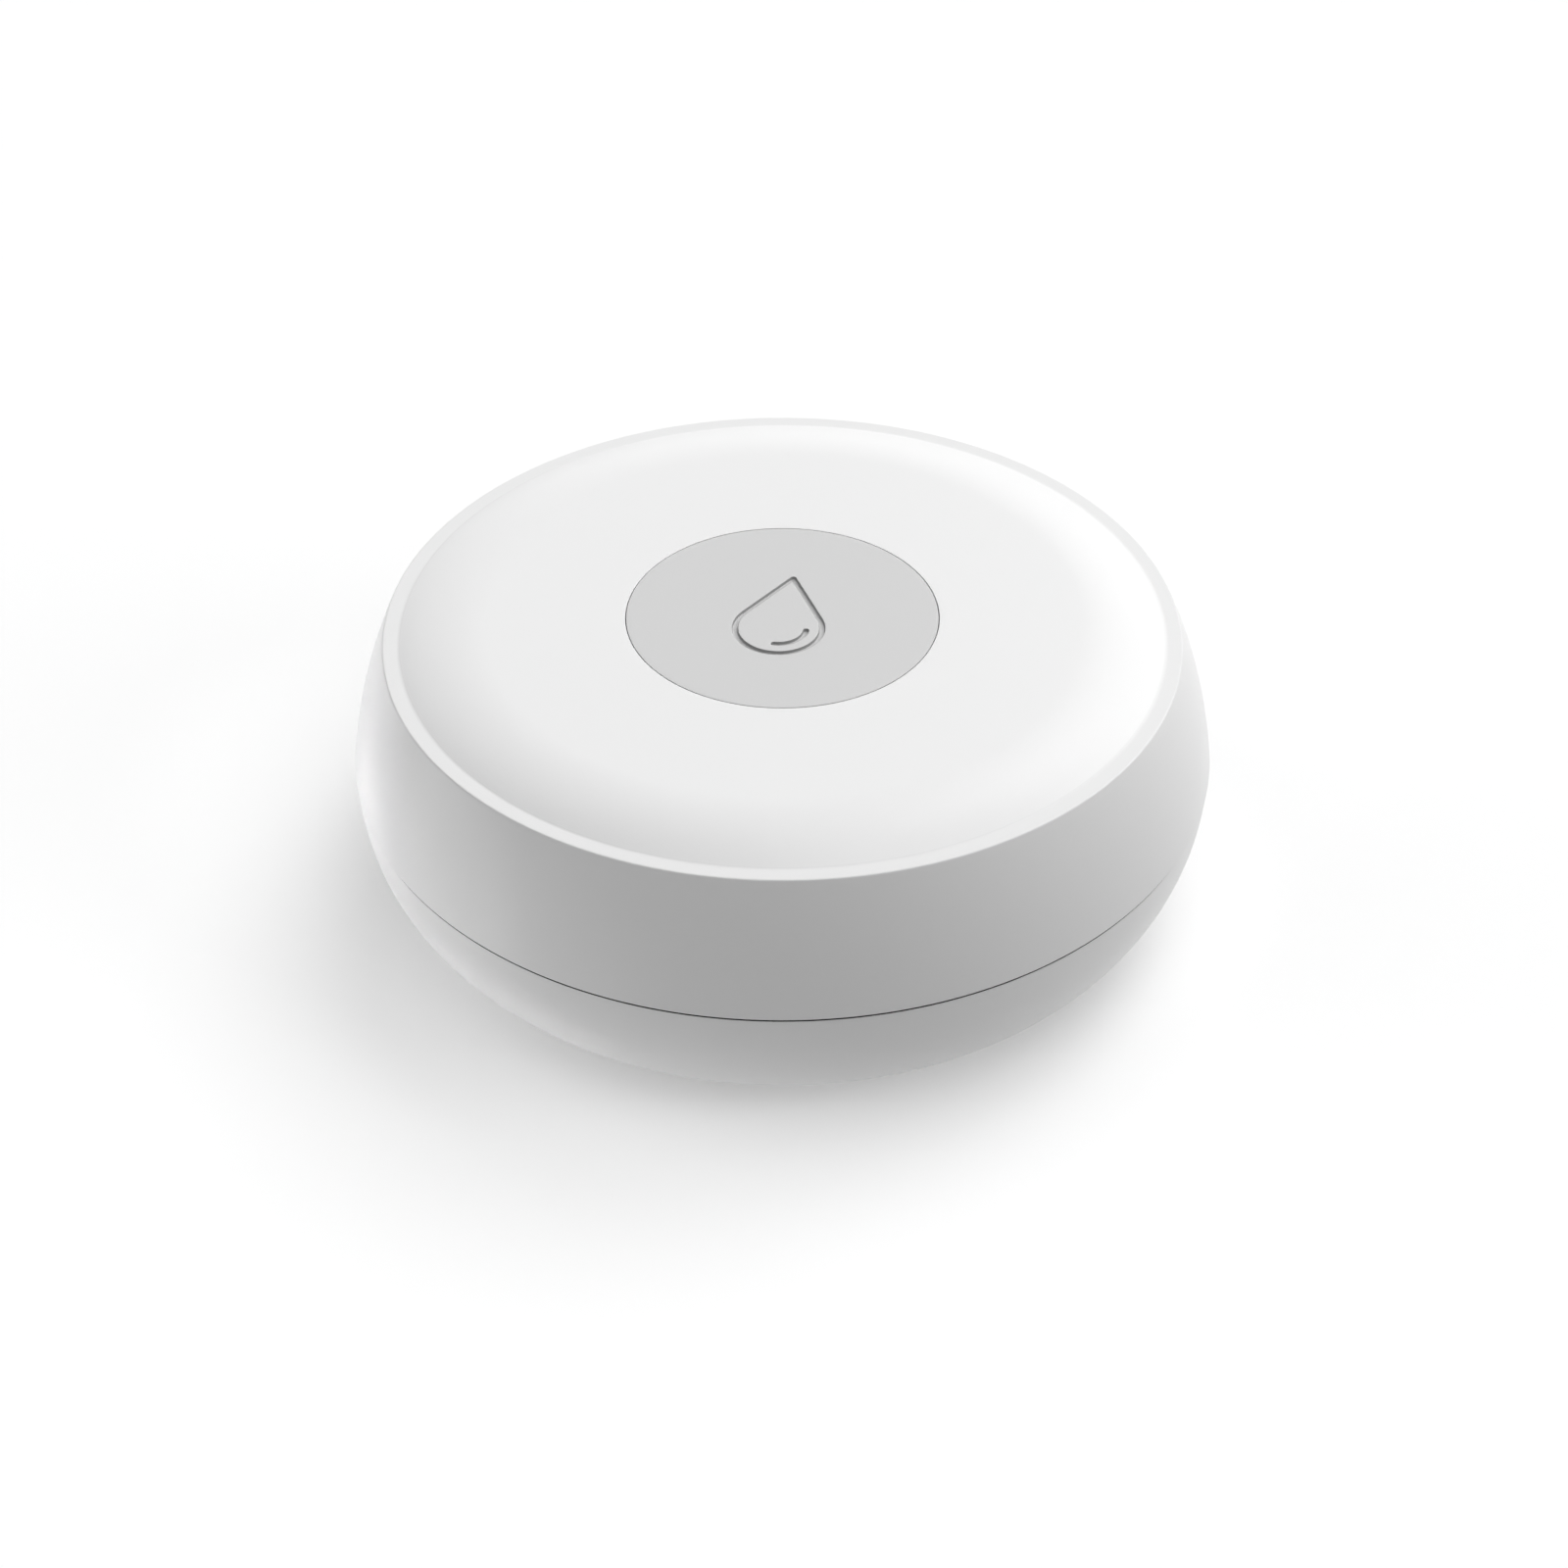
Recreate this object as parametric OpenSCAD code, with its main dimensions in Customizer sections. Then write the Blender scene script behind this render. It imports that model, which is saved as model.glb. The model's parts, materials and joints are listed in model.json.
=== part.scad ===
// Water leak sensor: a sealed round puck with a push button in its top, and with three probes
// and a twist-off battery door in its underside. Millimetres, +Z up, origin on the floor
// under the middle of the puck, with the drop on the button pointing to +Y.

/* [Housing] */
// Outside diameter at the seam, the widest line of the puck
body_d = 68; // [64:0.5:80]
// How far the rim of the top stands in from the widest line
rim_inset = 2.9; // [2:0.1:4]
// Width of the flat rim round the raised top
rim_w = 1.25; // [0.8:0.05:2]
// Height of the bowl-shaped base, from the underside to the seam
base_h = 12.5; // [12:0.1:16]
// Height of the side wall, from the seam to the rim
side_h = 10.75; // [10:0.05:15]
// How far the side wall bulges out past a straight line
side_bulge = 0.4; // [0.1:0.05:1]
// Rise of the flat top above the rim
dome_h = 1.15; // [0.6:0.05:2]
// Width of the rounded edge between the flat top and the rim
dome_edge_w = 6.6; // [4:0.1:9]
// Diameter of the flat underside
underside_d = 48; // [47:0.5:54]
// Thickness of the walls of both shells
wall = 2; // [1.6:0.1:2.4]
// Thickness of the floor of the base
floor_t = 2; // [1.6:0.1:3]
// Thickness of the top
top_t = 1.8; // [1.4:0.1:2.4]
// Height of the open line between the two shells
seam_gap = 0.25; // [0.1:0.05:0.4]
// How far the base stands in from the upper shell at the seam
base_inset = 0.1; // [0:0.05:0.3]
// Width of the level lip along the outside of the base's upper edge
seam_lip = 0.1; // [0.05:0.05:0.3]
// Width of the bevelled groove behind the lip, which keeps the open line dark
seam_groove_w = 0.45; // [0.3:0.05:0.6]
// Depth of this groove
seam_groove_h = 0.5; // [0.3:0.05:0.7]
// Thickness of the upper shell's tongue inside the base
tongue_t = 2; // [1.8:0.1:2.6]
// Reach of the tongue below the seam
tongue_l = 3; // [2.6:0.1:4]
// Gap between the tongue and the base
tongue_gap = 0.12; // [0.05:0.01:0.2]
// Section of the O-ring round the tongue
housing_seal_d = 1; // [0.8:0.05:1.2]

/* [Feet] */
// Diameter of a rubber foot
foot_d = 6.7; // [6:0.1:8]
// Height of the underside above the floor
foot_h = 1; // [0.8:0.1:2]
// Depth of a foot's seat in the underside
foot_seat = 0.6; // [0.4:0.05:1]

/* [Button] */
// Diameter of the button
button_d = 24.3; // [20:0.1:26]
// Gap round the button
button_gap = 0.15; // [0.1:0.01:0.3]
// Thickness of the button's face
button_t = 1.8; // [1.4:0.1:2.4]
// Height of the button's skirt above its flange
skirt_h = 1.4; // [1:0.1:2]
// Thickness of the button's skirt
skirt_t = 1.2; // [0.8:0.1:1.6]
// Reach of the flange past the skirt
flange_w = 1.2; // [1:0.05:1.6]
// Thickness of the flange
flange_t = 1; // [0.8:0.1:1.4]
// Angle of the first key from the X axis
key_deg = 60; // [0:5:115]
// Width of the keys that stop the button from turning
key_w = 2; // [1.5:0.1:3]
// Reach of the keys into the flange
key_reach = 0.7; // [0.5:0.05:0.9]
// Travel of the button
press_travel = 0.5; // [0.3:0.05:0.6]
// Diameter of the stem under the button's face
stem_d = 4.4; // [3:0.1:6]
// Thickness of the ribs under the button's face
rib_t = 1; // [0.8:0.1:1.6]
// Depth of the ribs under the button's face
rib_h = 1.2; // [0.8:0.1:2]

/* [Drop on the button] */
// Height of the drop
drop_h = 10.75; // [8:0.05:14]
// Width of the drop
drop_w = 7.25; // [5:0.05:9]
// Radius of the drop's tip
drop_tip_r = 0.25; // [0.1:0.05:0.5]
// Width of the engraved line
drop_line = 0.5; // [0.3:0.05:0.7]
// Depth of the engraved line
drop_depth = 0.35; // [0.2:0.05:0.5]
// Radius of the glint inside the drop, to the middle of its line
glint_r = 2.15; // [1.5:0.05:2.6]
// Angle that the glint covers
glint_deg = 90; // [60:1:110]

/* [Button seal] */
// Thickness of the membrane's edge
seal_t = 0.6; // [0.5:0.05:1]
// Thickness of the membrane's web
seal_web_t = 0.4; // [0.3:0.05:0.5]
// Width of the membrane's clamped edge
seal_seat_w = 1.8; // [1.4:0.1:2.4]
// Diameter of the pad that works the switch
pad_d = 4; // [3:0.1:5]
// Reach of the pad below the membrane's edge
pad_h = 0.9; // [0.6:0.05:1.4]
// Thickness of the clamp ring
clamp_t = 1.2; // [1:0.1:1.8]
// Reach of the clamp ring past the membrane
clamp_lip = 1.2; // [0.8:0.1:1.6]
// Angle of the first screw of the clamp ring from the X axis
clamp_deg = 0; // [-10:1:10]

/* [Battery] */
// Diameter of the coin cell
cell_d = 24.5; // [23:0.1:25]
// Height of the coin cell
cell_h = 7.7; // [7:0.1:8.5]
// How far the cell's cap stands in from its side
cell_cap_inset = 1.35; // [1:0.05:2]
// Rise of the cell's cap above its can
cell_cap_h = 0.4; // [0.2:0.05:0.6]
// Bevel along the edges of the cell's can
cell_edge = 0.5; // [0.3:0.05:0.7]
// Gap round the coin cell
cell_gap = 0.4; // [0.2:0.05:0.6]
// Thickness of the cup wall round the cell
cup_t = 1.75; // [1.2:0.05:2.2]
// Room between the cell and the circuit board
contact_room = 1.6; // [1.4:0.1:2.2]

/* [Contact springs] */
// Thickness of the contact springs
spring_t = 0.25; // [0.15:0.05:0.35]
// Width of the battery's contact springs
spring_w = 4; // [3:0.1:5]
// Length of a spring's foot on the circuit board
spring_foot = 3; // [2:0.1:4]
// Length of a spring's slope, along the board
spring_slope = 3; // [2:0.1:4]
// Length of a spring's flat contact
spring_flat = 2; // [1.4:0.1:2.4]
// Length of a spring's bent-up end, along the board
spring_tail = 1; // [0.6:0.1:1.4]
// Rise of a spring's bent-up end
spring_tail_h = 0.6; // [0.4:0.05:0.8]

/* [Battery door] */
// Thickness of the door
door_t = 1.8; // [1.5:0.1:2.4]
// Gap round the door, its neck and its lugs
door_gap = 0.15; // [0.1:0.01:0.25]
// Reach of the door past its lugs
door_lip = 1.05; // [0.8:0.05:1.6]
// Thickness of the door's neck
neck_t = 1.2; // [1:0.1:1.6]
// Reach of the lugs past the neck
lug_reach = 1.15; // [0.8:0.05:1.4]
// Height of the lugs
lug_h = 1.3; // [1:0.1:1.8]
// Angle that a lug covers
lug_deg = 24; // [18:1:28]
// Free angle at each end of a lug's way
lug_play_deg = 3; // [2:0.5:4]
// Turn from locked to open
door_turn_deg = 40; // [34:1:44]
// Thickness of the ledge that the lugs lock behind
ledge_t = 1.65; // [1.4:0.05:2]
// Thickness of the wall round the door
collar_t = 1.4; // [1:0.1:1.8]
// Thickness of the roof above the door's neck
roof_t = 0.8; // [0.6:0.1:1.2]
// Section of the door's O-ring
door_seal_d = 0.7; // [0.5:0.05:0.8]
// Length of the coin slot
coin_slot_l = 15; // [12:0.5:18]
// Width of the coin slot
coin_slot_w = 2; // [1.6:0.1:2.4]
// Depth of the coin slot
coin_slot_depth = 1; // [0.8:0.05:1.2]

/* [Probes] */
// Diameter of a probe's threaded pin
pin_d = 2; // [1.6:0.1:2.4]
// Diameter of a probe's head
pin_head_d = 5.2; // [5:0.1:6]
// Height of a probe's head above the floor
probe_lift = 0.3; // [0.2:0.05:0.5]
// Height of the boss that a probe's nut sits on
probe_boss_h = 1.5; // [1:0.1:2]
// Diameter of the boss that a probe's nut sits on
probe_boss_d = 6.4; // [6:0.1:7]
// Section of a probe's O-ring
probe_seal_d = 0.8; // [0.6:0.05:1]
// Width across flats of a probe's nut
nut_w = 4; // [3.6:0.1:4.6]
// Thickness of a probe's nut
nut_t = 1.6; // [1.2:0.1:2]
// Angle of the first probe from the X axis
probe_deg = 30; // [20:1:40]
// Height of a probe's contact spring
probe_spring_h = 3.2; // [2.6:0.1:4]
// Width of a probe's contact spring
probe_spring_w = 2.2; // [1.6:0.1:3]

/* [Screws] */
// Angle of the first screw that joins the shells, from the X axis
column_deg = 90; // [85:1:95]
// Diameter of the screws that join the shells
case_screw_d = 2.9; // [2.5:0.1:3.1]
// Length of the screws that join the shells
case_screw_l = 12; // [10:0.5:16]
// Diameter of their heads
case_head_d = 5; // [4.6:0.1:5.6]
// Height of their heads
case_head_h = 1.6; // [1.3:0.1:1.8]
// Diameter of the base's columns round these screws
column_d = 7.4; // [7:0.1:8]
// Height of these columns above the underside
column_h = 7; // [6:0.1:8]
// Diameter of the upper shell's bosses for these screws
case_boss_d = 6; // [5:0.1:6.6]
// Angle of the circuit board's first screw from the X axis
board_screw_deg = 0; // [-5:1:5]
// Diameter of the circuit board's screws
board_screw_d = 2; // [1.6:0.1:2.2]
// Length of the circuit board's screws
board_screw_l = 6; // [4:0.5:8]
// Diameter of their heads
board_head_d = 3.8; // [3.4:0.1:4.4]
// Height of their heads
board_head_h = 1.3; // [1:0.1:1.6]
// Diameter of the bosses that carry the circuit board
board_boss_d = 5.2; // [4.6:0.1:6]
// Diameter of the clamp ring's screws
clamp_screw_d = 1.6; // [1.4:0.1:2]
// Length of the clamp ring's screws
clamp_screw_l = 4.4; // [3.5:0.1:5]
// Diameter of their heads
clamp_head_d = 3.2; // [2.8:0.1:3.6]
// Height of their heads
clamp_head_h = 1.1; // [0.8:0.1:1.4]
// Diameter of the upper shell's bosses for these screws
clamp_boss_d = 4.4; // [4:0.1:5]

/* [Circuit board] */
// Thickness of the circuit board
board_t = 1.2; // [0.8:0.1:1.6]
// Gap between the circuit board and the tongue
board_gap = 0.9; // [0.5:0.1:1.4]
// Clear band along the circuit board's edge
board_band = 2; // [1.5:0.1:2.5]

/* [Switch] */
// Width of the tactile switch
switch_w = 6; // [5.6:0.1:7]
// Height of the tactile switch with its cover
switch_h = 3.5; // [3.2:0.1:4]
// Thickness of the switch's cover
switch_cover_t = 0.35; // [0.25:0.05:0.5]
// Thickness of the switch's floor
switch_floor_t = 0.6; // [0.4:0.05:0.7]
// Diameter of the chamber in the switch
switch_bore_d = 4.9; // [4.6:0.1:5.2]
// Rise of the snap dome in the switch
snap_rise = 0.75; // [0.7:0.01:0.8]
// Thickness of the snap dome
snap_t = 0.1; // [0.06:0.01:0.15]
// Diameter of the switch's plunger
plunger_d = 3.5; // [3:0.1:3.8]

/* [Buzzer] */
// Angle of the buzzer from the X axis
buzzer_deg = 165; // [158:1:172]
// Diameter of the buzzer
buzzer_d = 12.5; // [10:0.1:13]
// Height of the buzzer
buzzer_h = 3.2; // [2.6:0.1:3.8]
// Thickness of the buzzer's walls
buzzer_wall = 0.5; // [0.4:0.05:0.7]
// Diameter of the buzzer's sound port
buzzer_port_d = 1.8; // [1:0.1:3]
// Height of the shelf that carries the buzzer's disc
buzzer_shelf_h = 1.2; // [0.8:0.1:1.6]
// Width of the shelf that carries the buzzer's disc
buzzer_shelf_w = 0.6; // [0.4:0.05:1]
// Thickness of the buzzer's disc
buzzer_disc_t = 0.25; // [0.15:0.05:0.4]

/* [Radio] */
// Angle of the radio module from the X axis
radio_deg = 282; // [276:1:286]
// Length of the radio module
radio_l = 16; // [14:0.5:18]
// Width of the radio module
radio_w = 12; // [10:0.5:13]
// Thickness of the radio module's board
radio_t = 0.8; // [0.6:0.1:1.2]
// Length of the radio module's shield
shield_l = 10.5; // [8:0.5:12]
// Height of the radio module's shield
shield_h = 2.2; // [1.6:0.1:2.6]
// Clear band round the radio module's shield
shield_band = 0.6; // [0.4:0.05:0.8]
// Thickness of the radio module's shield
shield_wall = 0.25; // [0.15:0.05:0.4]

/* [Power and control parts] */
// Angle of the reservoir capacitor from the X axis
capacitor_deg = 33; // [28:1:36]
// Diameter of the reservoir capacitor
capacitor_d = 6.3; // [5:0.1:7]
// Height of the reservoir capacitor
capacitor_h = 5.4; // [4:0.1:6]
// Height of the reservoir capacitor's foot
capacitor_base_h = 0.8; // [0.5:0.1:1.2]
// Angle of the boost inductor from the X axis
inductor_deg = 60; // [57:1:65]
// Diameter of the boost inductor
inductor_d = 7; // [5:0.1:7.5]
// Height of the boost inductor
inductor_h = 3; // [2:0.1:4]
// Height of the boost inductor's end plates
inductor_flange_h = 0.5; // [0.3:0.05:0.8]
// How far the boost inductor's winding stands in from its end plates
inductor_waist = 0.6; // [0.3:0.05:1]
// Size of the status light
led_size = [2, 1.3, 0.8]; // [0.5:0.1:3]
// Gap between the switch and the status light
led_gap = 1.2; // [0.5:0.1:1.5]
// Radius of the ring of small chips round the switch
chip_ring_r = 9.5; // [9:0.1:10.5]
// Size of the controller
controller_size = [5, 5, 0.9]; // [0.5:0.1:6]
// Angle of the controller from the X axis
controller_deg = 225; // [215:1:235]
// Size of the voltage regulator
regulator_size = [3, 1.8, 1.1]; // [0.5:0.1:4]
// Angle of the voltage regulator from the X axis
regulator_deg = 45; // [35:1:55]
// Size of the crystal
crystal_size = [3.2, 2.5, 0.8]; // [0.5:0.1:4]
// Angle of the crystal from the X axis
crystal_deg = 300; // [290:1:310]
// Size of a resistor or small capacitor
passive_size = [1.6, 0.8, 0.7]; // [0.4:0.1:2]
// Angle of the first of these from the X axis
passive_from = 95; // [85:1:100]
// Angle between two of these
passive_step = 15; // [12:1:18]
// How many of these stand in the row
passive_count = 5; // [3:1:6]

/* [Clearances] */
// Gap between two faces that just touch
touch = 0.02; // [0.01:0.01:0.04]
// Gap round a screw or a pin in its hole
screw_gap = 0.05; // [0.03:0.01:0.1]
// Gap between neighbouring fixed pieces
part_gap = 0.3; // [0.2:0.05:0.4]
// Gap between moving pieces along their travel
play = 0.1; // [0.06:0.01:0.15]

/* [Hidden] */
$fn = 96;

// Steps along each round stretch of an outline
arc_steps = 24;
// How far a cut runs past the face that it opens
cut = 0.5;

// Levels of the housing
base_z = foot_h;
floor_z = base_z + floor_t;
seam_z = base_z + base_h;
seam_low = seam_z - seam_gap / 2;
seam_high = seam_z + seam_gap / 2;
rim_z = seam_z + side_h;
top_z = rim_z + dome_h;
ceiling_z = top_z - top_t;
tongue_z = seam_z - tongue_l;
land_z = tongue_z - part_gap;

// Radii of the housing
body_r = body_d / 2;
rim_r = body_r - rim_inset;
rim_inner_r = rim_r - rim_w;
dome_flat_r = rim_inner_r - dome_edge_w;
underside_r = underside_d / 2;
base_r = body_r - base_inset;
land_r = base_r - wall;
seam_lip_r = base_r - seam_lip;
seam_groove_r = seam_lip_r - seam_groove_w;
tongue_r = land_r - tongue_gap;
tongue_inner_r = tongue_r - tongue_t;
housing_groove_r = land_r - housing_seal_d - 2 * touch;
housing_seal_z = seam_z - tongue_l / 2;

// Button, from its face down to the switch
button_r = button_d / 2;
button_hole_r = button_r + button_gap;
face_z = top_z - button_t;
flange_top = face_z - skirt_h;
flange_z = flange_top - flange_t;
flange_r = button_r + flange_w;
step_z = flange_top + play;
well_r = flange_r + part_gap;
guide_r = well_r + seal_seat_w;
key_r = flange_r - key_reach;
seal_top = flange_z - press_travel - part_gap;
seal_z = seal_top - seal_t;
pad_z = seal_z - pad_h;
clamp_z = seal_z - clamp_t;
clamp_ring_r = guide_r + clamp_lip;
clamp_circle_r = guide_r + clamp_boss_d / 2 + part_gap;
drop_r = drop_w / 2;
drop_tip_deg = asin((drop_r - drop_tip_r) / (drop_h - drop_r - drop_tip_r));

// Battery bay, from the underside up
door_top = base_z + door_t;
recess_top = door_top + play;
ledge_top = recess_top + ledge_t;
lug_z = ledge_top + play;
lug_top = lug_z + lug_h;
channel_top = lug_top + play;
neck_top = channel_top + part_gap;
throat_top = neck_top + play;
collar_top = throat_top + roof_t;
window_z = collar_top + part_gap;
cell_z = door_top + play;
cell_top = cell_z + cell_h;
cup_top = cell_top + part_gap;
cell_r = cell_d / 2;
cup_inner_r = cell_r + cell_gap;
cup_r = cup_inner_r + cup_t;
neck_r = cup_inner_r + neck_t;
throat_r = neck_r + door_gap;
lug_r = neck_r + lug_reach;
channel_r = lug_r + door_gap;
door_r = lug_r + door_lip;
recess_r = door_r + door_gap;
collar_r = recess_r + collar_t;
door_groove_r = recess_r - door_seal_d - 2 * touch;
door_seal_z = base_z + door_t / 2;
slot_deg = lug_deg + 2 * lug_play_deg;
channel_deg = door_turn_deg + slot_deg + lug_play_deg;
channel_mid_deg = -(door_turn_deg + lug_play_deg) / 2;

// Circuit board
board_z = cell_top + contact_room;
board_top = board_z + board_t;
board_r = tongue_inner_r - board_gap;
board_reach = board_r - board_band;
board_screw_r = board_r - board_boss_d / 2 - part_gap;

// Ring of fasteners outside the battery bay
nut_r = nut_w / 2 / cos(30);
fastener_r = max(collar_r + nut_r, clamp_ring_r + case_boss_d / 2) + part_gap;
per_ring = 3;

// Case screws and feet
foot_top = base_z + foot_seat;
case_head_z = foot_top + play;
case_seat_z = case_head_z + case_head_h;
case_screw_top = case_seat_z + case_screw_l;
column_top = base_z + column_h;

// Probes
pin_r = pin_d / 2;
probe_boss_top = floor_z + probe_boss_h;
pin_top = board_z - probe_spring_h;
probe_bore_r = pin_r + screw_gap;
probe_seat_r = pin_r + probe_seal_d + 3 * touch;
probe_seat_z = base_z + probe_seal_d + 2 * touch;

// Tactile switch
switch_body_top = board_top + switch_h - switch_cover_t;
switch_floor_z = board_top + switch_floor_t;
switch_bore_r = switch_bore_d / 2;
snap_r = switch_bore_r - 2 * play;
snap_top = switch_floor_z + snap_rise + snap_t;
plunger_z = snap_top + touch;
plunger_r = plunger_d / 2;
plunger_foot_r = switch_bore_r - 2 * play;
plunger_top = pad_z - touch;

// Radio module, with its outer corners at the clear band along the board's edge
radio_r = sqrt(pow(board_reach, 2) - pow(radio_l / 2, 2)) - radio_w / 2;

// Points of an arc from p to q that bulges to the right of the line between them
function arc(p, q, bulge) =
    let (chord = norm(q - p))
    let (along = (q - p) / chord)
    let (out = [along[1], -along[0]])
    let (radius = (chord * chord / 4 + bulge * bulge) / (2 * bulge))
    let (half = asin(chord / 2 / radius))
    [
        for (i = [0 : arc_steps])
            let (a = half * (2 * i / arc_steps - 1))
            (p + q) / 2 + along * radius * sin(a) + out * (radius * cos(a) - radius + bulge)
    ];

// Bulge of an arc that runs out level at its top, for its width and height
function crown_bulge(width, height) =
    let (radius = (width * width + height * height) / (2 * height))
    radius * (1 - cos(asin(width / radius) / 2));

// Points of a quarter ellipse from straight below its centre to straight beside it
function bowl(centre, width, depth) = [
    for (i = [0 : arc_steps])
        let (a = 90 * i / arc_steps)
        centre + [width * sin(a), -depth * cos(a)]
];

// Points of a drop that stands inside the full drop by the inset
function drop_points(inset) =
    let (r = drop_r - inset)
    let (tip_r = max(drop_tip_r - inset, 0))
    let (middle = drop_r - drop_h / 2)
    let (tip_middle = middle + (r - tip_r) / sin(drop_tip_deg))
    let (sweep = 180 + 2 * drop_tip_deg)
    concat(
        tip_r == 0 ? [[0, tip_middle]] : [
            for (i = [0 : arc_steps])
                let (a = 180 - drop_tip_deg - (360 - sweep) * i / arc_steps)
                [tip_r * cos(a), tip_middle + tip_r * sin(a)]
        ],
        [
            for (i = [0 : 2 * arc_steps])
                let (a = drop_tip_deg - sweep * i / (2 * arc_steps))
                [r * cos(a), middle + r * sin(a)]
        ]
    );

// Outline of a strip of even thickness along a path
function sideways(v) = [-v[1], v[0]] / norm(v);
function strip_side(path, i) =
    let (before = sideways(path[max(i, 1)] - path[max(i, 1) - 1]))
    let (next = min(i + 1, len(path) - 1))
    let (after = sideways(path[next] - path[next - 1]))
    (before + after) / (1 + before * after);
function strip(path, thickness) =
    let (last = len(path) - 1)
    concat(
        [for (i = [0 : last]) path[i] + strip_side(path, i) * thickness / 2],
        [for (i = [last : -1 : 0]) path[i] - strip_side(path, i) * thickness / 2]
    );

// Path of a spring finger from the underside of the circuit board down to a level face
function finger(face) =
    let (foot_z = board_z - spring_t / 2)
    let (flat_z = face + touch + spring_t / 2)
    [
        [spring_flat / 2 + spring_slope + spring_foot, foot_z],
        [spring_flat / 2 + spring_slope, foot_z],
        [spring_flat / 2, flat_z],
        [-spring_flat / 2, flat_z],
        [-spring_flat / 2 - spring_tail, flat_z + spring_tail_h]
    ];

// A round bar between two heights
module bar(r, low, high) {
    translate([0, 0, low])
        cylinder(r = r, h = high - low);
}

// A box that stands on a height, centred on the axis
module block(size, low) {
    translate([-size[0] / 2, -size[1] / 2, low])
        cube(size);
}

// A turned ring between two radii and two heights, over an angle
module arc_ring(inner, outer, low, high, middle_deg, span_deg) {
    rotate(middle_deg - span_deg / 2)
        rotate_extrude(angle = span_deg)
            polygon([[inner, low], [outer, low], [outer, high], [inner, high]]);
}

// A ring of round section
module o_ring(r, z, section) {
    translate([0, 0, z])
        rotate_extrude()
            translate([r, 0])
                circle(d = section);
}

// A groove for a ring of round section, cut into a round outside
module groove(inner, outer, z, section) {
    half = section / 2 + play;
    difference() {
        bar(outer + cut, z - half, z + half);
        bar(inner, z - half - cut, z + half + cut);
    }
}

// The same shape three times round the axis
module around(r, start_deg) {
    for (k = [0 : per_ring - 1])
        rotate(start_deg + k * 360 / per_ring)
            translate([r, 0, 0])
                children();
}

// A strip spring bent along a path in the upright plane through the X axis
module spring(path, width) {
    rotate([90, 0, 0])
        translate([0, 0, -width / 2])
            linear_extrude(height = width)
                polygon(strip(path, spring_t));
}

// A screw with a hexagon socket, pointing up from the seat of its head
module screw(shank_d, shank_l, head_d, head_h) {
    difference() {
        union() {
            bar(head_d / 2, -head_h, 0);
            bar(shank_d / 2, -head_h / 2, shank_l);
        }
        bar(shank_d / 2, -head_h - cut, -head_h / 2, $fn = 6);
    }
}

// A part on the circuit board, with its outer end at the clear band along the board's edge
module at_edge(deg, half) {
    rotate(deg)
        translate([board_reach - half, 0, 0])
            children();
}

// A small chip on the ring round the switch
module chip(size, deg) {
    rotate(deg)
        translate([chip_ring_r, 0, 0])
            block(size, board_top);
}

// Solid outline of the upper shell, with its tongue
module cover_form() {
    rotate_extrude()
        polygon(concat(
            [[0, tongue_z], [tongue_r, tongue_z], [tongue_r, seam_high]],
            arc([body_r, seam_high], [rim_r, rim_z], side_bulge),
            arc([rim_inner_r, rim_z], [dome_flat_r, top_z], crown_bulge(dome_edge_w, dome_h)),
            [[0, top_z]]
        ));
}

// Hollow of the upper shell
module cover_hollow() {
    rotate_extrude()
        polygon([
            [0, tongue_z - cut],
            [tongue_inner_r, tongue_z - cut],
            [tongue_inner_r, seam_z],
            [rim_r - wall, rim_z - top_t],
            [dome_flat_r, ceiling_z],
            [0, ceiling_z]
        ]);
}

// Room in the button's guide for the button's flange, with the keys left standing in it
module button_well() {
    difference() {
        bar(well_r, seal_top - cut, step_z);
        around(key_r, key_deg)
            translate([0, -key_w / 2, seal_top - cut])
                cube([well_r, key_w, step_z - seal_top + 2 * cut]);
    }
}

module upper_shell() {
    boss_top = ceiling_z + top_t / 2;
    color("white")
        difference() {
            union() {
                difference() {
                    cover_form();
                    cover_hollow();
                }
                bar(guide_r, seal_top, boss_top);
                around(fastener_r, column_deg)
                    bar(case_boss_d / 2, column_top + touch, boss_top);
                around(clamp_circle_r, clamp_deg)
                    bar(clamp_boss_d / 2, seal_z, boss_top);
            }
            bar(button_hole_r, seal_top - cut, top_z + cut);
            button_well();
            around(fastener_r, column_deg)
                bar(case_screw_d / 2 + screw_gap, column_top - cut, case_screw_top + part_gap);
            around(clamp_circle_r, clamp_deg)
                bar(clamp_screw_d / 2 + screw_gap, seal_z - cut, clamp_z + clamp_screw_l + part_gap);
            groove(housing_groove_r, tongue_r, housing_seal_z, housing_seal_d);
        }
}

// Solid outline of the base
module base_form() {
    rotate_extrude()
        polygon(concat(
            [[0, base_z]],
            bowl([underside_r, seam_low], base_r - underside_r, seam_low - base_z),
            [
                [seam_lip_r, seam_low], [seam_groove_r, seam_low - seam_groove_h],
                [seam_groove_r, seam_low], [0, seam_low]
            ]
        ));
}

// Hollow of the base, with a straight land for the tongue
module base_hollow() {
    inner_r = underside_r - wall;
    rotate_extrude()
        polygon(concat(
            [[0, floor_z]],
            bowl([inner_r, land_z], land_r - inner_r, land_z - floor_z),
            [[land_r, seam_low + cut], [0, seam_low + cut]]
        ));
}

// What stands up from the floor of the base
module base_uprights() {
    bar(collar_r, base_z, collar_top);
    bar(cup_r, base_z, cup_top);
    around(fastener_r, column_deg)
        bar(column_d / 2, base_z, column_top);
    around(fastener_r, probe_deg)
        bar(probe_boss_d / 2, base_z, probe_boss_top);
    around(board_screw_r, board_screw_deg)
        bar(board_boss_d / 2, base_z, board_z);
}

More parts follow.
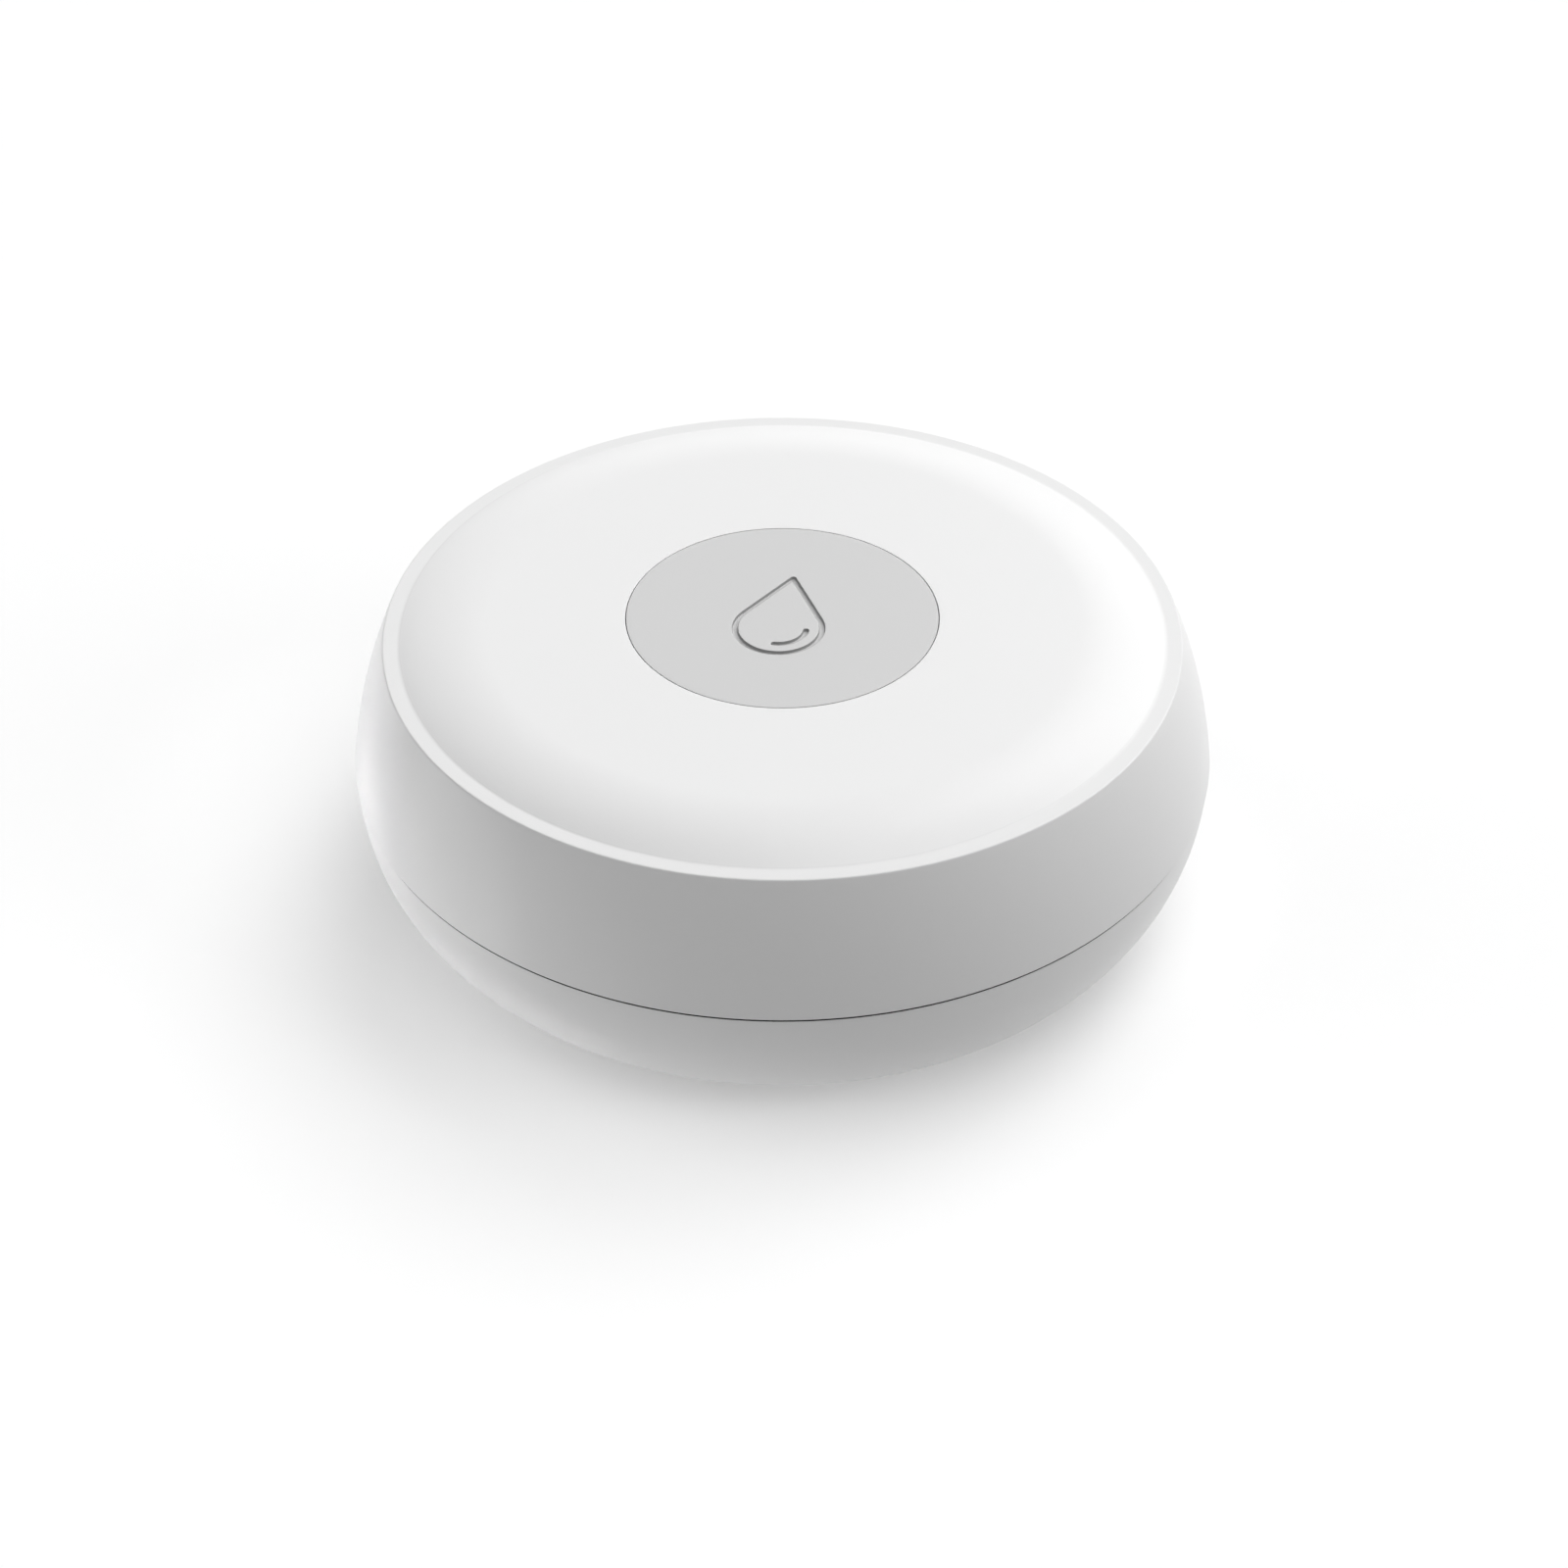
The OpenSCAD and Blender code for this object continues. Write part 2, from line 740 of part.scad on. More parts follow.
// Room for the battery door and the cell
module battery_bay() {
    bar(recess_r, base_z - cut, recess_top);
    bar(throat_r, base_z, throat_top);
    bar(cup_inner_r, base_z, cup_top + cut);
    around(0, 0) {
        arc_ring(neck_r, channel_r, ledge_top, channel_top, channel_mid_deg, channel_deg);
        arc_ring(neck_r, channel_r + play, door_top, lug_z, -door_turn_deg, slot_deg);
    }
    translate([0, -spring_w / 2 - part_gap, window_z])
        cube([cup_r + cut, spring_w + 2 * part_gap, cup_top - window_z + cut]);
}

module lower_shell() {
    color("white")
        difference() {
            base_form();
            difference() {
                base_hollow();
                base_uprights();
            }
            battery_bay();
            around(fastener_r, column_deg) {
                bar(foot_d / 2 + play, base_z - cut, foot_top);
                bar(case_head_d / 2 + play, base_z, case_seat_z);
                bar(case_screw_d / 2 + screw_gap, base_z, column_top + cut);
            }
            around(fastener_r, probe_deg) {
                bar(probe_seat_r, base_z - cut, probe_seat_z);
                bar(probe_bore_r, base_z, probe_boss_top + cut);
            }
            around(board_screw_r, board_screw_deg)
                bar(board_screw_d / 2 + screw_gap, board_top - board_screw_l - part_gap, board_z + cut);
        }
}

module housing_seal() {
    color("dimgray")
        o_ring(housing_groove_r + touch + housing_seal_d / 2, housing_seal_z, housing_seal_d);
}

// The engraved line of the drop and of the glint inside it
module drop_line_cut() {
    translate([0, 0, top_z - drop_depth]) {
        difference() {
            linear_extrude(height = drop_depth + cut)
                polygon(drop_points(0));
            linear_extrude(height = drop_depth + cut)
                polygon(drop_points(drop_line));
        }
        translate([0, drop_r - drop_h / 2, 0])
            arc_ring(glint_r - drop_line / 2, glint_r + drop_line / 2, 0, drop_depth + cut,
                -glint_deg / 2, glint_deg);
    }
}

module button_cap() {
    hollow_r = button_r - skirt_t;
    color("lightgray")
        difference() {
            union() {
                difference() {
                    union() {
                        bar(button_r, flange_z, top_z);
                        bar(flange_r, flange_z, flange_top);
                    }
                    bar(hollow_r, flange_z - cut, face_z);
                    around(key_r - part_gap, key_deg)
                        translate([0, -key_w / 2 - play, flange_z - cut])
                            cube([flange_w, key_w + 2 * play, flange_t + cut]);
                }
                bar(stem_d / 2, seal_top + touch, top_z - button_t / 2);
                around(0, key_deg)
                    translate([0, -rib_t / 2, face_z - rib_h])
                        cube([hollow_r + skirt_t / 2, rib_t, rib_h + button_t / 2]);
            }
            drop_line_cut();
        }
}

module button_seal() {
    web_r = well_r - part_gap;
    web_z = seal_top - seal_web_t;
    color("gainsboro")
        rotate_extrude()
            polygon([
                [0, pad_z], [pad_d / 2, pad_z], [pad_d / 2, web_z], [web_r, web_z],
                [web_r, seal_z], [guide_r, seal_z], [guide_r, seal_top], [0, seal_top]
            ]);
}

module seal_clamp_ring() {
    color("whitesmoke")
        difference() {
            union() {
                bar(clamp_ring_r, clamp_z, seal_z);
                around(clamp_circle_r, clamp_deg)
                    bar(clamp_boss_d / 2, clamp_z, seal_z);
            }
            bar(well_r, clamp_z - cut, seal_z + cut);
            around(clamp_circle_r, clamp_deg)
                bar(clamp_screw_d / 2 + screw_gap, clamp_z - cut, seal_z + cut);
        }
}

module clamp_screws() {
    color("silver")
        around(clamp_circle_r, clamp_deg)
            translate([0, 0, clamp_z])
                screw(clamp_screw_d, clamp_screw_l, clamp_head_d, clamp_head_h);
}

module circuit_board() {
    color("darkgreen")
        difference() {
            bar(board_r, board_z, board_top);
            around(fastener_r, column_deg)
                bar(case_boss_d / 2 + part_gap, board_z - cut, board_top + cut);
            around(board_screw_r, board_screw_deg)
                bar(board_screw_d / 2 + screw_gap, board_z - cut, board_top + cut);
        }
}

module board_screws() {
    color("silver")
        around(board_screw_r, board_screw_deg)
            translate([0, 0, board_top])
                mirror([0, 0, 1])
                    screw(board_screw_d, board_screw_l, board_head_d, board_head_h);
}

module switch_body() {
    color("black")
        difference() {
            block([switch_w, switch_w, switch_body_top - board_top], board_top);
            bar(switch_bore_r, switch_floor_z, switch_body_top + cut);
        }
}

module switch_dome() {
    rise = arc([snap_r, switch_floor_z], [0, switch_floor_z + snap_rise], crown_bulge(snap_r, snap_rise));
    color("silver")
        rotate_extrude()
            polygon(concat(rise, [for (i = [arc_steps : -1 : 0]) rise[i] + [0, snap_t]]));
}

module switch_cover() {
    color("silver")
        difference() {
            block([switch_w, switch_w, switch_cover_t], switch_body_top);
            bar(plunger_r + play, switch_body_top - cut, switch_body_top + switch_cover_t + cut);
        }
}

module switch_plunger() {
    color("dimgray") {
        bar(plunger_foot_r, plunger_z, switch_body_top - play);
        bar(plunger_r, plunger_z, plunger_top);
    }
}

module status_led() {
    color("palegreen")
        translate([switch_w / 2 + led_gap + led_size[0] / 2, 0, 0])
            block(led_size, board_top);
}

module buzzer_case() {
    inner_r = buzzer_d / 2 - buzzer_wall;
    buzzer_top = board_top + buzzer_h;
    color("black")
        at_edge(buzzer_deg, buzzer_d / 2)
            difference() {
                bar(buzzer_d / 2, board_top, buzzer_top);
                bar(inner_r, board_top + buzzer_shelf_h, buzzer_top - buzzer_wall);
                bar(inner_r - buzzer_shelf_w, board_top + buzzer_wall, buzzer_top - buzzer_wall);
                bar(buzzer_port_d / 2, board_top + buzzer_h / 2, buzzer_top + cut);
            }
}

module buzzer_disc() {
    shelf_z = board_top + buzzer_shelf_h;
    color("goldenrod")
        at_edge(buzzer_deg, buzzer_d / 2)
            bar(buzzer_d / 2 - buzzer_wall - play, shelf_z, shelf_z + buzzer_disc_t);
}

module radio_board() {
    color("midnightblue")
        rotate(radio_deg)
            translate([radio_r, 0, 0])
                block([radio_w, radio_l, radio_t], board_top);
}

module radio_shield() {
    outside = [radio_w - 2 * shield_band, shield_l, shield_h];
    color("silver")
        rotate(radio_deg)
            translate([radio_r, (radio_l - shield_l) / 2 - shield_band, 0])
                difference() {
                    block(outside, board_top + radio_t);
                    block(outside - [2, 2, 1] * shield_wall, board_top + radio_t - touch);
                }
}

module reservoir_capacitor() {
    color("silver")
        at_edge(capacitor_deg, capacitor_d / 2) {
            block([capacitor_d, capacitor_d, capacitor_base_h], board_top);
            bar(capacitor_d / 2 - touch, board_top, board_top + capacitor_h);
        }
}

module boost_inductor() {
    inductor_top = board_top + inductor_h;
    color("dimgray")
        at_edge(inductor_deg, inductor_d / 2) {
            bar(inductor_d / 2, board_top, board_top + inductor_flange_h);
            bar(inductor_d / 2 - inductor_waist, board_top, inductor_top);
            bar(inductor_d / 2, inductor_top - inductor_flange_h, inductor_top);
        }
}

module control_chips() {
    color("black") {
        chip(controller_size, controller_deg);
        chip(regulator_size, regulator_deg);
        chip(crystal_size, crystal_deg);
        for (k = [0 : passive_count - 1])
            chip(passive_size, passive_from + k * passive_step);
    }
}

module coin_cell() {
    can_top = cell_top - cell_cap_h;
    cap_r = cell_r - cell_cap_inset;
    color("silver")
        rotate_extrude()
            polygon([
                [0, cell_z], [cell_r - cell_edge, cell_z], [cell_r, cell_z + cell_edge],
                [cell_r, can_top - cell_edge], [cell_r - cell_edge, can_top], [cap_r, can_top],
                [cap_r, cell_top], [0, cell_top]
            ]);
}

module negative_contact() {
    color("gold")
        spring(finger(cell_top), spring_w);
}

// The strip runs down outside the cup and turns up again to press on the side of the cell
module positive_contact() {
    outer_x = cup_r + part_gap + spring_t / 2;
    inner_x = cell_r + touch + spring_t / 2;
    low_z = window_z + part_gap + spring_t;
    side_top = cell_top - cell_cap_h - cell_edge;
    color("gold")
        spring([
            [outer_x + spring_foot, board_z - spring_t / 2],
            [outer_x, board_z - spring_t / 2],
            [outer_x, low_z],
            [inner_x, side_top - spring_flat / 2],
            [inner_x, side_top],
            [inner_x + spring_tail_h, side_top + spring_tail]
        ], spring_w);
}

module battery_door() {
    color("white")
        difference() {
            union() {
                bar(door_r, base_z, door_top);
                bar(neck_r, base_z, neck_top);
                around(0, 0)
                    arc_ring(cup_inner_r, lug_r, lug_z, lug_top, 0, lug_deg);
            }
            bar(cup_inner_r, door_top, neck_top + cut);
            groove(door_groove_r, door_r, door_seal_z, door_seal_d);
            block([coin_slot_l, coin_slot_w, coin_slot_depth + cut], base_z - cut);
        }
}

module door_seal() {
    color("dimgray")
        o_ring(door_groove_r + touch + door_seal_d / 2, door_seal_z, door_seal_d);
}

module probe_pins() {
    color("gold")
        around(fastener_r, probe_deg) {
            bar(pin_head_d / 2, probe_lift, base_z);
            bar(pin_r, probe_lift, pin_top);
        }
}

module probe_seals() {
    color("dimgray")
        around(fastener_r, probe_deg)
            o_ring((pin_r + probe_seat_r) / 2, (base_z + probe_seat_z) / 2, probe_seal_d);
}

module probe_nuts() {
    color("goldenrod")
        around(fastener_r, probe_deg)
            difference() {
                bar(nut_r, probe_boss_top, probe_boss_top + nut_t, $fn = 6);
                bar(probe_bore_r, probe_boss_top - cut, probe_boss_top + nut_t + cut);
            }
}

module probe_contacts() {
    color("gold")
        around(fastener_r, probe_deg)
            rotate(90)
                spring(finger(pin_top), probe_spring_w);
}

module case_screws() {
    color("silver")
        around(fastener_r, column_deg)
            translate([0, 0, case_seat_z])
                screw(case_screw_d, case_screw_l, case_head_d, case_head_h);
}

module rubber_feet() {
    color("gray")
        around(fastener_r, column_deg)
            bar(foot_d / 2, 0, foot_top);
}

upper_shell();
lower_shell();
housing_seal();
button_cap();
button_seal();
seal_clamp_ring();
clamp_screws();
circuit_board();
board_screws();
switch_body();
switch_dome();
switch_cover();
switch_plunger();
status_led();
buzzer_case();
buzzer_disc();
radio_board();
radio_shield();
reservoir_capacitor();
boost_inductor();
control_chips();
coin_cell();
negative_contact();
positive_contact();
battery_door();
door_seal();
probe_pins();
probe_seals();
probe_nuts();
probe_contacts();
case_screws();
rubber_feet();
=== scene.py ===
import json
import math

import bpy
import numpy as np
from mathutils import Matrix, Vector
from mathutils.geometry import tessellate_polygon

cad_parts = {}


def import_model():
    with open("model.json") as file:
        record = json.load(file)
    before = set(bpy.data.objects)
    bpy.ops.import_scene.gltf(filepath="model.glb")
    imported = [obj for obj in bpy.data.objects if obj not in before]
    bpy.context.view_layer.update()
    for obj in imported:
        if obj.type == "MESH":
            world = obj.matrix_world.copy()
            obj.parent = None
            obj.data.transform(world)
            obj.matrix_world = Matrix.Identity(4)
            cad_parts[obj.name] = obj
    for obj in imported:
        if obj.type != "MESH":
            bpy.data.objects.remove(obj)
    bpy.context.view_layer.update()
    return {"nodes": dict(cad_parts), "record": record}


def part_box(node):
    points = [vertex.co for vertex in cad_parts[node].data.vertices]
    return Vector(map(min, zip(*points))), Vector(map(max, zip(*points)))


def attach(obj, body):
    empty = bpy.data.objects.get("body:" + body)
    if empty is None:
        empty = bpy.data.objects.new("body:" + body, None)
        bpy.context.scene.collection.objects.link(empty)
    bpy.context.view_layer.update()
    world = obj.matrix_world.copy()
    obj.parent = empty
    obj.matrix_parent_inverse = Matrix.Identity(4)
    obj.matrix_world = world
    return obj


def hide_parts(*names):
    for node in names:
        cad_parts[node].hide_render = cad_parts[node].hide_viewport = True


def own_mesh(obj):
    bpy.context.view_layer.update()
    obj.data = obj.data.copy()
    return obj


# Water leak sensor: a sealed white puck with a large grey push button.
# Sizes are in millimetres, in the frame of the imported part. A mesh turns them into metres.

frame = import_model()

MM = 0.001
PER_RING = 3

# Fineness of the meshes
TURN = 256
SMALL_TURN = 64
EDGE_STEPS = 6
ARC_STEPS = 32
BOWL_STEPS = 48
BAND_STEPS = 24
DOME_STEPS = 24
SNAP_STEPS = 16
TIP_POINTS = 13
CURVE_POINTS = 97
SIDE_POINTS = 9
GLINT_POINTS = 33
SHARP_ANGLE = math.radians(38)


def corners(node):
    """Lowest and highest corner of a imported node, in millimetres."""
    low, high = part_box(node)
    return low / MM, high / MM


# Play between pieces
play = 0.1
touch = 0.02
part_gap = 0.3
screw_gap = 0.05

# Housing
shell_low, shell_high = corners("upper_shell")
base_low, base_high = corners("lower_shell")
body_r = shell_high.x
top_z = shell_high.z
tongue_z = shell_low.z
base_r = base_high.x
base_z = base_low.z
seam_low = base_high.z
seam_gap = 0.25
seam_line = 0.2
seam_lip_w = 0.1
seam_groove_w = 0.45
seam_groove_h = 0.5
seam_high = seam_low + seam_line
seam_z = seam_low + seam_gap / 2
seam_lip_r = base_r - seam_lip_w
seam_groove_r = seam_lip_r - seam_groove_w
seam_groove_z = seam_low - seam_groove_h
side_lean = 2.9
rim_w = 1.25
rim_r = body_r - side_lean
rim_inner_r = rim_r - rim_w
dome_h = 1.15
dome_edge_w = 6.6
dome_flat_r = rim_inner_r - dome_edge_w
rim_z = top_z - dome_h
side_bulge = 0.4
wall = 2.0
floor_z = base_z + wall
top_t = 1.8
ceiling_z = top_z - top_t
boss_top = ceiling_z + top_t / 2
underside_r = 24.0
inner_floor_r = underside_r - wall
land_r = base_r - wall
land_z = tongue_z - part_gap
tongue_play = 0.12
tongue_r = land_r - tongue_play
tongue_inner_r = tongue_r - wall
root = 0.2

# Softness of the moulded edges
rim_edge = 0.12
rim_reach = 0.05
rim_valley = 0.14
seam_edge = 0.06
lip_edge = 0.02
hole_edge = 0.03
plain_edge = 0.12
mouth_edge = 0.12

# Seal between the shells
housing_seal_d = 1.0
housing_seal_z = seam_z - (seam_z - tongue_z) / 2
housing_groove_r = land_r - housing_seal_d - 2 * touch

# Button
cap_low, cap_high = corners("button_cap")
flange_r = cap_high.x
flange_w = 1.2
flange_t = 1.0
button_line = 0.07
button_t = 1.8
button_skirt = 1.4
button_wall = 1.2
button_r = flange_r - flange_w
hole_r = button_r + button_line
face_z = top_z - button_t
flange_top = face_z - button_skirt
flange_z = flange_top - flange_t
step_z = flange_top + play
well_r = flange_r + part_gap
guide_t = 1.8
guide_r = well_r + guide_t
button_hollow_r = button_r - button_wall
stem_r = 2.2
stem_z = cap_low.z
key_deg = 60
key_w = 2.0
key_reach = 0.7
key_r = flange_r - key_reach
rib_t = 1.0
rib_h = 1.2
rib_z = face_z - rib_h
button_edge = 0.03
flat_band = 0.3

# Drop on the button
drop_h = 10.75
drop_r = 3.625
drop_tip_r = 0.25
drop_middle = drop_r - drop_h / 2
drop_tip = math.asin((drop_r - drop_tip_r) / (drop_h - drop_r - drop_tip_r))
line_w = 0.5
line_depth = 0.26
line_draft = 0.07
line_lip = 0.04
line_root = 0.07
line_margin = 0.15
glint_r = 2.15
glint_span = math.radians(90)

# Button seal
seal_low, seal_high = corners("button_seal")
seal_top = seal_high.z
seal_t = 0.6
seal_web_t = 0.4
seal_z = seal_top - seal_t
seal_web_z = seal_top - seal_web_t
seal_web_r = well_r - part_gap
pad_z = seal_low.z
pad_r = 2.0

# Battery bay and door
door_high = corners("battery_door")[1]
door_r = door_high.x
neck_top = door_high.z
door_t = 1.8
door_top = base_z + door_t
door_gap = 0.15
recess_r = door_r + door_gap
recess_top = door_top + play
ledge_t = 1.65
lug_t = 1.3
lug_w = 1.15
lug_inset = 1.05
ledge_top = recess_top + ledge_t
lug_z = ledge_top + play
lug_top = lug_z + lug_t
channel_top = lug_top + play
throat_top = neck_top + play
collar_lip = 0.8
collar_t = 1.4
collar_top = throat_top + collar_lip
collar_r = recess_r + collar_t
lug_r = door_r - lug_inset
neck_r = lug_r - lug_w
throat_r = neck_r + door_gap
channel_r = lug_r + door_gap
neck_t = 1.2
cup_t = 1.75
cup_inner_r = neck_r - neck_t
cup_r = cup_inner_r + cup_t
cell_top = corners("coin_cell")[1].z
cup_top = cell_top + part_gap
window_z = collar_top + part_gap
contact_w = 4.0
window_w = contact_w + 2 * part_gap
lug_deg = 24
door_turn_deg = 40
lug_play_deg = 3
slot_deg = lug_deg + 2 * lug_play_deg
channel_deg = door_turn_deg + slot_deg + lug_play_deg
channel_mid_deg = -(door_turn_deg + lug_play_deg) / 2
door_seal_d = 0.7
door_seal_z = base_z + (door_top - base_z) / 2
door_groove_r = recess_r - door_seal_d - 2 * touch
coin_slot_l = 15.0
coin_slot_w = 2.0
coin_slot_h = 1.0
coin_slot_top = base_z + coin_slot_h

# Feet, probes and screws
fastener_r = frame["record"]["mounts"][0]["pos_m"][1] / MM
foot_r = 3.35
foot_top = corners("rubber_feet")[1].z
foot_edge = 0.4
column_deg = 90
column_r = 3.7
column_h = 7.0
column_top = base_z + column_h
case_head_h = 1.6
case_seat_z = corners("case_screws")[0].z + case_head_h
case_head_r = 2.5
case_screw_r = 1.45
case_screw_top = corners("case_screws")[1].z
case_boss_r = 3.0
probe_deg = 30
pin_low, pin_high = corners("probe_pins")
pin_r = 1.0
pin_head_r = 2.6
pin_head_edge = 0.3
probe_boss_r = 3.2
probe_boss_h = 1.5
probe_seal_d = 0.8
probe_boss_top = floor_z + probe_boss_h
probe_seat_r = pin_r + probe_seal_d + 3 * touch
probe_seat_z = base_z + probe_seal_d + 2 * touch
board_low, board_high = corners("circuit_board")
board_screw_low = corners("board_screws")[0]
board_screw_deg = 0
board_boss_r = 2.6
board_thread_r = 1.0
board_screw_r = board_high.x - board_boss_r - part_gap
board_pilot_r = board_thread_r + screw_gap
clamp_deg = 0
clamp_boss_r = 2.2
clamp_thread_r = 0.8
clamp_circle_r = guide_r + clamp_boss_r + part_gap
clamp_pilot_r = clamp_thread_r + screw_gap
clamp_screw_top = corners("clamp_screws")[1].z

# Snap dome in the switch
snap_low, snap_high = corners("switch_dome")
snap_r = snap_high.x
snap_t = 0.1
snap_rise = snap_high.z - snap_low.z - snap_t


def softened(outline):
    """Outline whose corners with a third value, a reach, are rounded off over that reach."""
    points = []
    for i, corner in enumerate(outline):
        here = np.array(corner[:2])
        if len(corner) == 2:
            points.append(tuple(here))
            continue
        before = np.array(outline[i - 1][:2]) - here
        after = np.array(outline[(i + 1) % len(outline)][:2]) - here
        start = here + before * corner[2] / np.linalg.norm(before)
        end = here + after * corner[2] / np.linalg.norm(after)
        for t in np.linspace(0, 1, EDGE_STEPS + 1):
            points.append(tuple((1 - t) ** 2 * start + 2 * t * (1 - t) * here + t * t * end))
    return points


def arc(start, end, bulge, steps=ARC_STEPS):
    """Points inside an arc that bulges to the right of the line from start to end."""
    start, end = np.array(start), np.array(end)
    chord = np.linalg.norm(end - start)
    along = (end - start) / chord
    out = np.array([along[1], -along[0]])
    radius = (chord ** 2 / 4 + bulge ** 2) / (2 * bulge)
    half = math.asin(chord / 2 / radius)
    middle = (start + end) / 2 + out * (bulge - radius)
    angles = np.linspace(-half, half, steps + 1)[1:-1]
    return [tuple(middle + radius * (along * math.sin(a) + out * math.cos(a))) for a in angles]


def crown_bulge(width, height):
    """Bulge of an arc that runs out level at its top."""
    radius = (width ** 2 + height ** 2) / (2 * height)
    return radius * (1 - math.cos(math.asin(width / radius) / 2))


def bowl(centre_r, centre_z, width, depth):
    """Points of a quarter ellipse from straight below its centre to just before straight beside it."""
    angles = np.linspace(0, math.pi / 2, BOWL_STEPS + 1)[:-1]
    return [(centre_r + width * math.sin(a), centre_z - depth * math.cos(a)) for a in angles]


def lathe(outline, count=TURN, closed=True):
    """Solid of an outline turned about the Z axis. A point on the axis becomes a pole."""
    angles = np.linspace(0, 2 * math.pi, count, endpoint=False)
    points, rows, faces = [], [], []
    for r, z in outline:
        first = len(points)
        if r == 0:
            points.append((0.0, 0.0, z))
            rows.append([first] * count)
        else:
            points += [(r * math.cos(a), r * math.sin(a), z) for a in angles]
            rows.append(list(range(first, first + count)))
    ends = rows[1:] + rows[:1] if closed else rows[1:]
    for low, high in zip(rows, ends):
        for k in range(count):
            n = (k + 1) % count
            face = list(dict.fromkeys([low[k], low[n], high[n], high[k]]))
            if len(face) > 2:
                faces.append(face)
    return points, faces


def loft(sections):
    """Solid through flat loops of equally many points, each loop with its height, from the bottom up."""
    count = len(sections[0][0])
    points = [(x, y, z) for loop, z in sections for x, y in loop]
    faces = [list(range(count))[::-1], [len(points) - count + k for k in range(count)]]
    for s in range(len(sections) - 1):
        for k in range(count):
            a, b = s * count + k, s * count + (k + 1) % count
            faces.append([a, b, b + count, a + count])
    return points, faces


def rectangle(x0, x1, width):
    """Loop of a rectangle that lies along the X axis."""
    return [(x0, -width / 2), (x1, -width / 2), (x1, width / 2), (x0, width / 2)]


def arc_band(inner, outer, middle_deg, span_deg):
    """Loop of a band between two radii, over an angle."""
    start = math.radians(middle_deg - span_deg / 2)
    angles = np.linspace(start, start + math.radians(span_deg), BAND_STEPS + 1)
    far = [(outer * math.cos(a), outer * math.sin(a)) for a in angles]
    near = [(inner * math.cos(a), inner * math.sin(a)) for a in angles[::-1]]
    return far + near


def block(loop, low, high):
    """Upright solid on a loop."""
    return loft([(loop, low), (loop, high)])


def bar(r, low, high):
    """Round bar with soft ends."""
    return lathe(softened([(0, low), (r, low, touch), (r, high, touch), (0, high)]), SMALL_TURN)


def joined(*solids):
    """Several solids as one."""
    points, faces = [], []
    for more_points, more_faces in solids:
        faces += [[len(points) + v for v in face] for face in more_faces]
        points = points + list(more_points)
    return points, faces


def around(r, start_deg, *solids):
    """The same solids three times round the axis."""
    points, faces = joined(*solids)
    copies = []
    for k in range(PER_RING):
        turn = math.radians(start_deg + k * 360 / PER_RING)
        c, s = math.cos(turn), math.sin(turn)
        copies.append(([((x + r) * c - y * s, (x + r) * s + y * c, z) for x, y, z in points], faces))
    return joined(*copies)


def mesh_object(name, solid):
    """Object in the scene with a solid's mesh, in metres."""
    points, faces = solid
    mesh = bpy.data.meshes.new(name)
    mesh.from_pydata([Vector(p) * MM for p in points], [], faces)
    mesh.validate()
    obj = bpy.data.objects.new(name, mesh)
    bpy.context.scene.collection.objects.link(obj)
    return obj


def combined(obj, operation, solid):
    """Adds a solid to an object's mesh, or cuts it out."""
    tool = mesh_object("tool", solid)
    step = obj.modifiers.new("step", "BOOLEAN")
    step.operation = operation
    step.solver = "MANIFOLD"
    step.object = tool
    shown = obj.evaluated_get(bpy.context.evaluated_depsgraph_get())
    mesh = bpy.data.meshes.new_from_object(shown)
    obj.modifiers.clear()
    old = obj.data
    obj.data = mesh
    bpy.data.meshes.remove(old)
    bpy.data.objects.remove(tool)


def piece(name, solid, node, body, added=(), cut=()):
    """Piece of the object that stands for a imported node, with its body and its finish."""
    obj = mesh_object(name, solid)
    for tool in added:
        combined(obj, "UNION", tool)
    for tool in cut:
        combined(obj, "DIFFERENCE", tool)
    obj.data.shade_smooth()
    obj.data.set_sharp_from_angle(angle=SHARP_ANGLE)
    weighted = obj.modifiers.new("even_shading", "WEIGHTED_NORMAL")
    weighted.keep_sharp = True
    obj.data.materials.clear()
    obj.data.materials.append(finishes[slots[node]])
    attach(obj, body)
    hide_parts(node)
    return obj


# Materials. Noise scales are features per metre, and depths of relief are metres.

CLOUDS = 60.0
SHEEN_SPOTS = 900.0
SHEEN_RANGE = 0.04
STAINS = 300.0
STAIN_TONES = (0.9, 1.06)
STREAK_DETAIL = 4.0
METAL_SHEEN_RANGE = 0.08
TRACKS = {"Scale": 260.0, "Mortar Size": 0.06, "Brick Width": 1.7, "Row Height": 0.42}
TRACK_TONES = (0.8, 1.7)
TRACK_DEPTH = 0.00003
BOARD_SPOTS = 2000.0
BOARD_SHEEN = (0.28, 0.4)
# Painted shade: darker tones for the rim, the inside of the seam gap and the engraved lines on the button.
RIM_SHADE_TONE = 0.945
SEAM_SHADE_TONE = 0.1
LINE_BED_SHADE_TONE = 0.8
LINE_WALL_SHADE_TONE = 0.6

slots = {row["node"]: row["material_slot"] for row in frame["record"]["subparts"]}
colours = {row["slot"]: tuple(row["base_color"]) for row in frame["record"]["materials"]}


def add_node(tree, kind, inputs=None, **settings):
    """Shader node with its settings, and with its inputs set or linked."""
    made = tree.nodes.new(kind)
    for key, value in settings.items():
        setattr(made, key, value)
    for key, value in (inputs or {}).items():
        if isinstance(value, bpy.types.NodeSocket):
            tree.links.new(value, made.inputs[key])
        else:
            made.inputs[key].default_value = value
    return made


def new_material(name):
    """Empty material, its tree and its place coordinates."""
    made = bpy.data.materials.new(name)
    made.use_nodes = True
    tree = made.node_tree
    tree.nodes.clear()
    place = add_node(tree, "ShaderNodeTexCoord").outputs["Object"]
    return made, tree, place


def shade(colour, factor):
    """Colour made lighter or darker, with full opacity."""
    return (*(min(1.0, c * factor) for c in colour), 1.0)


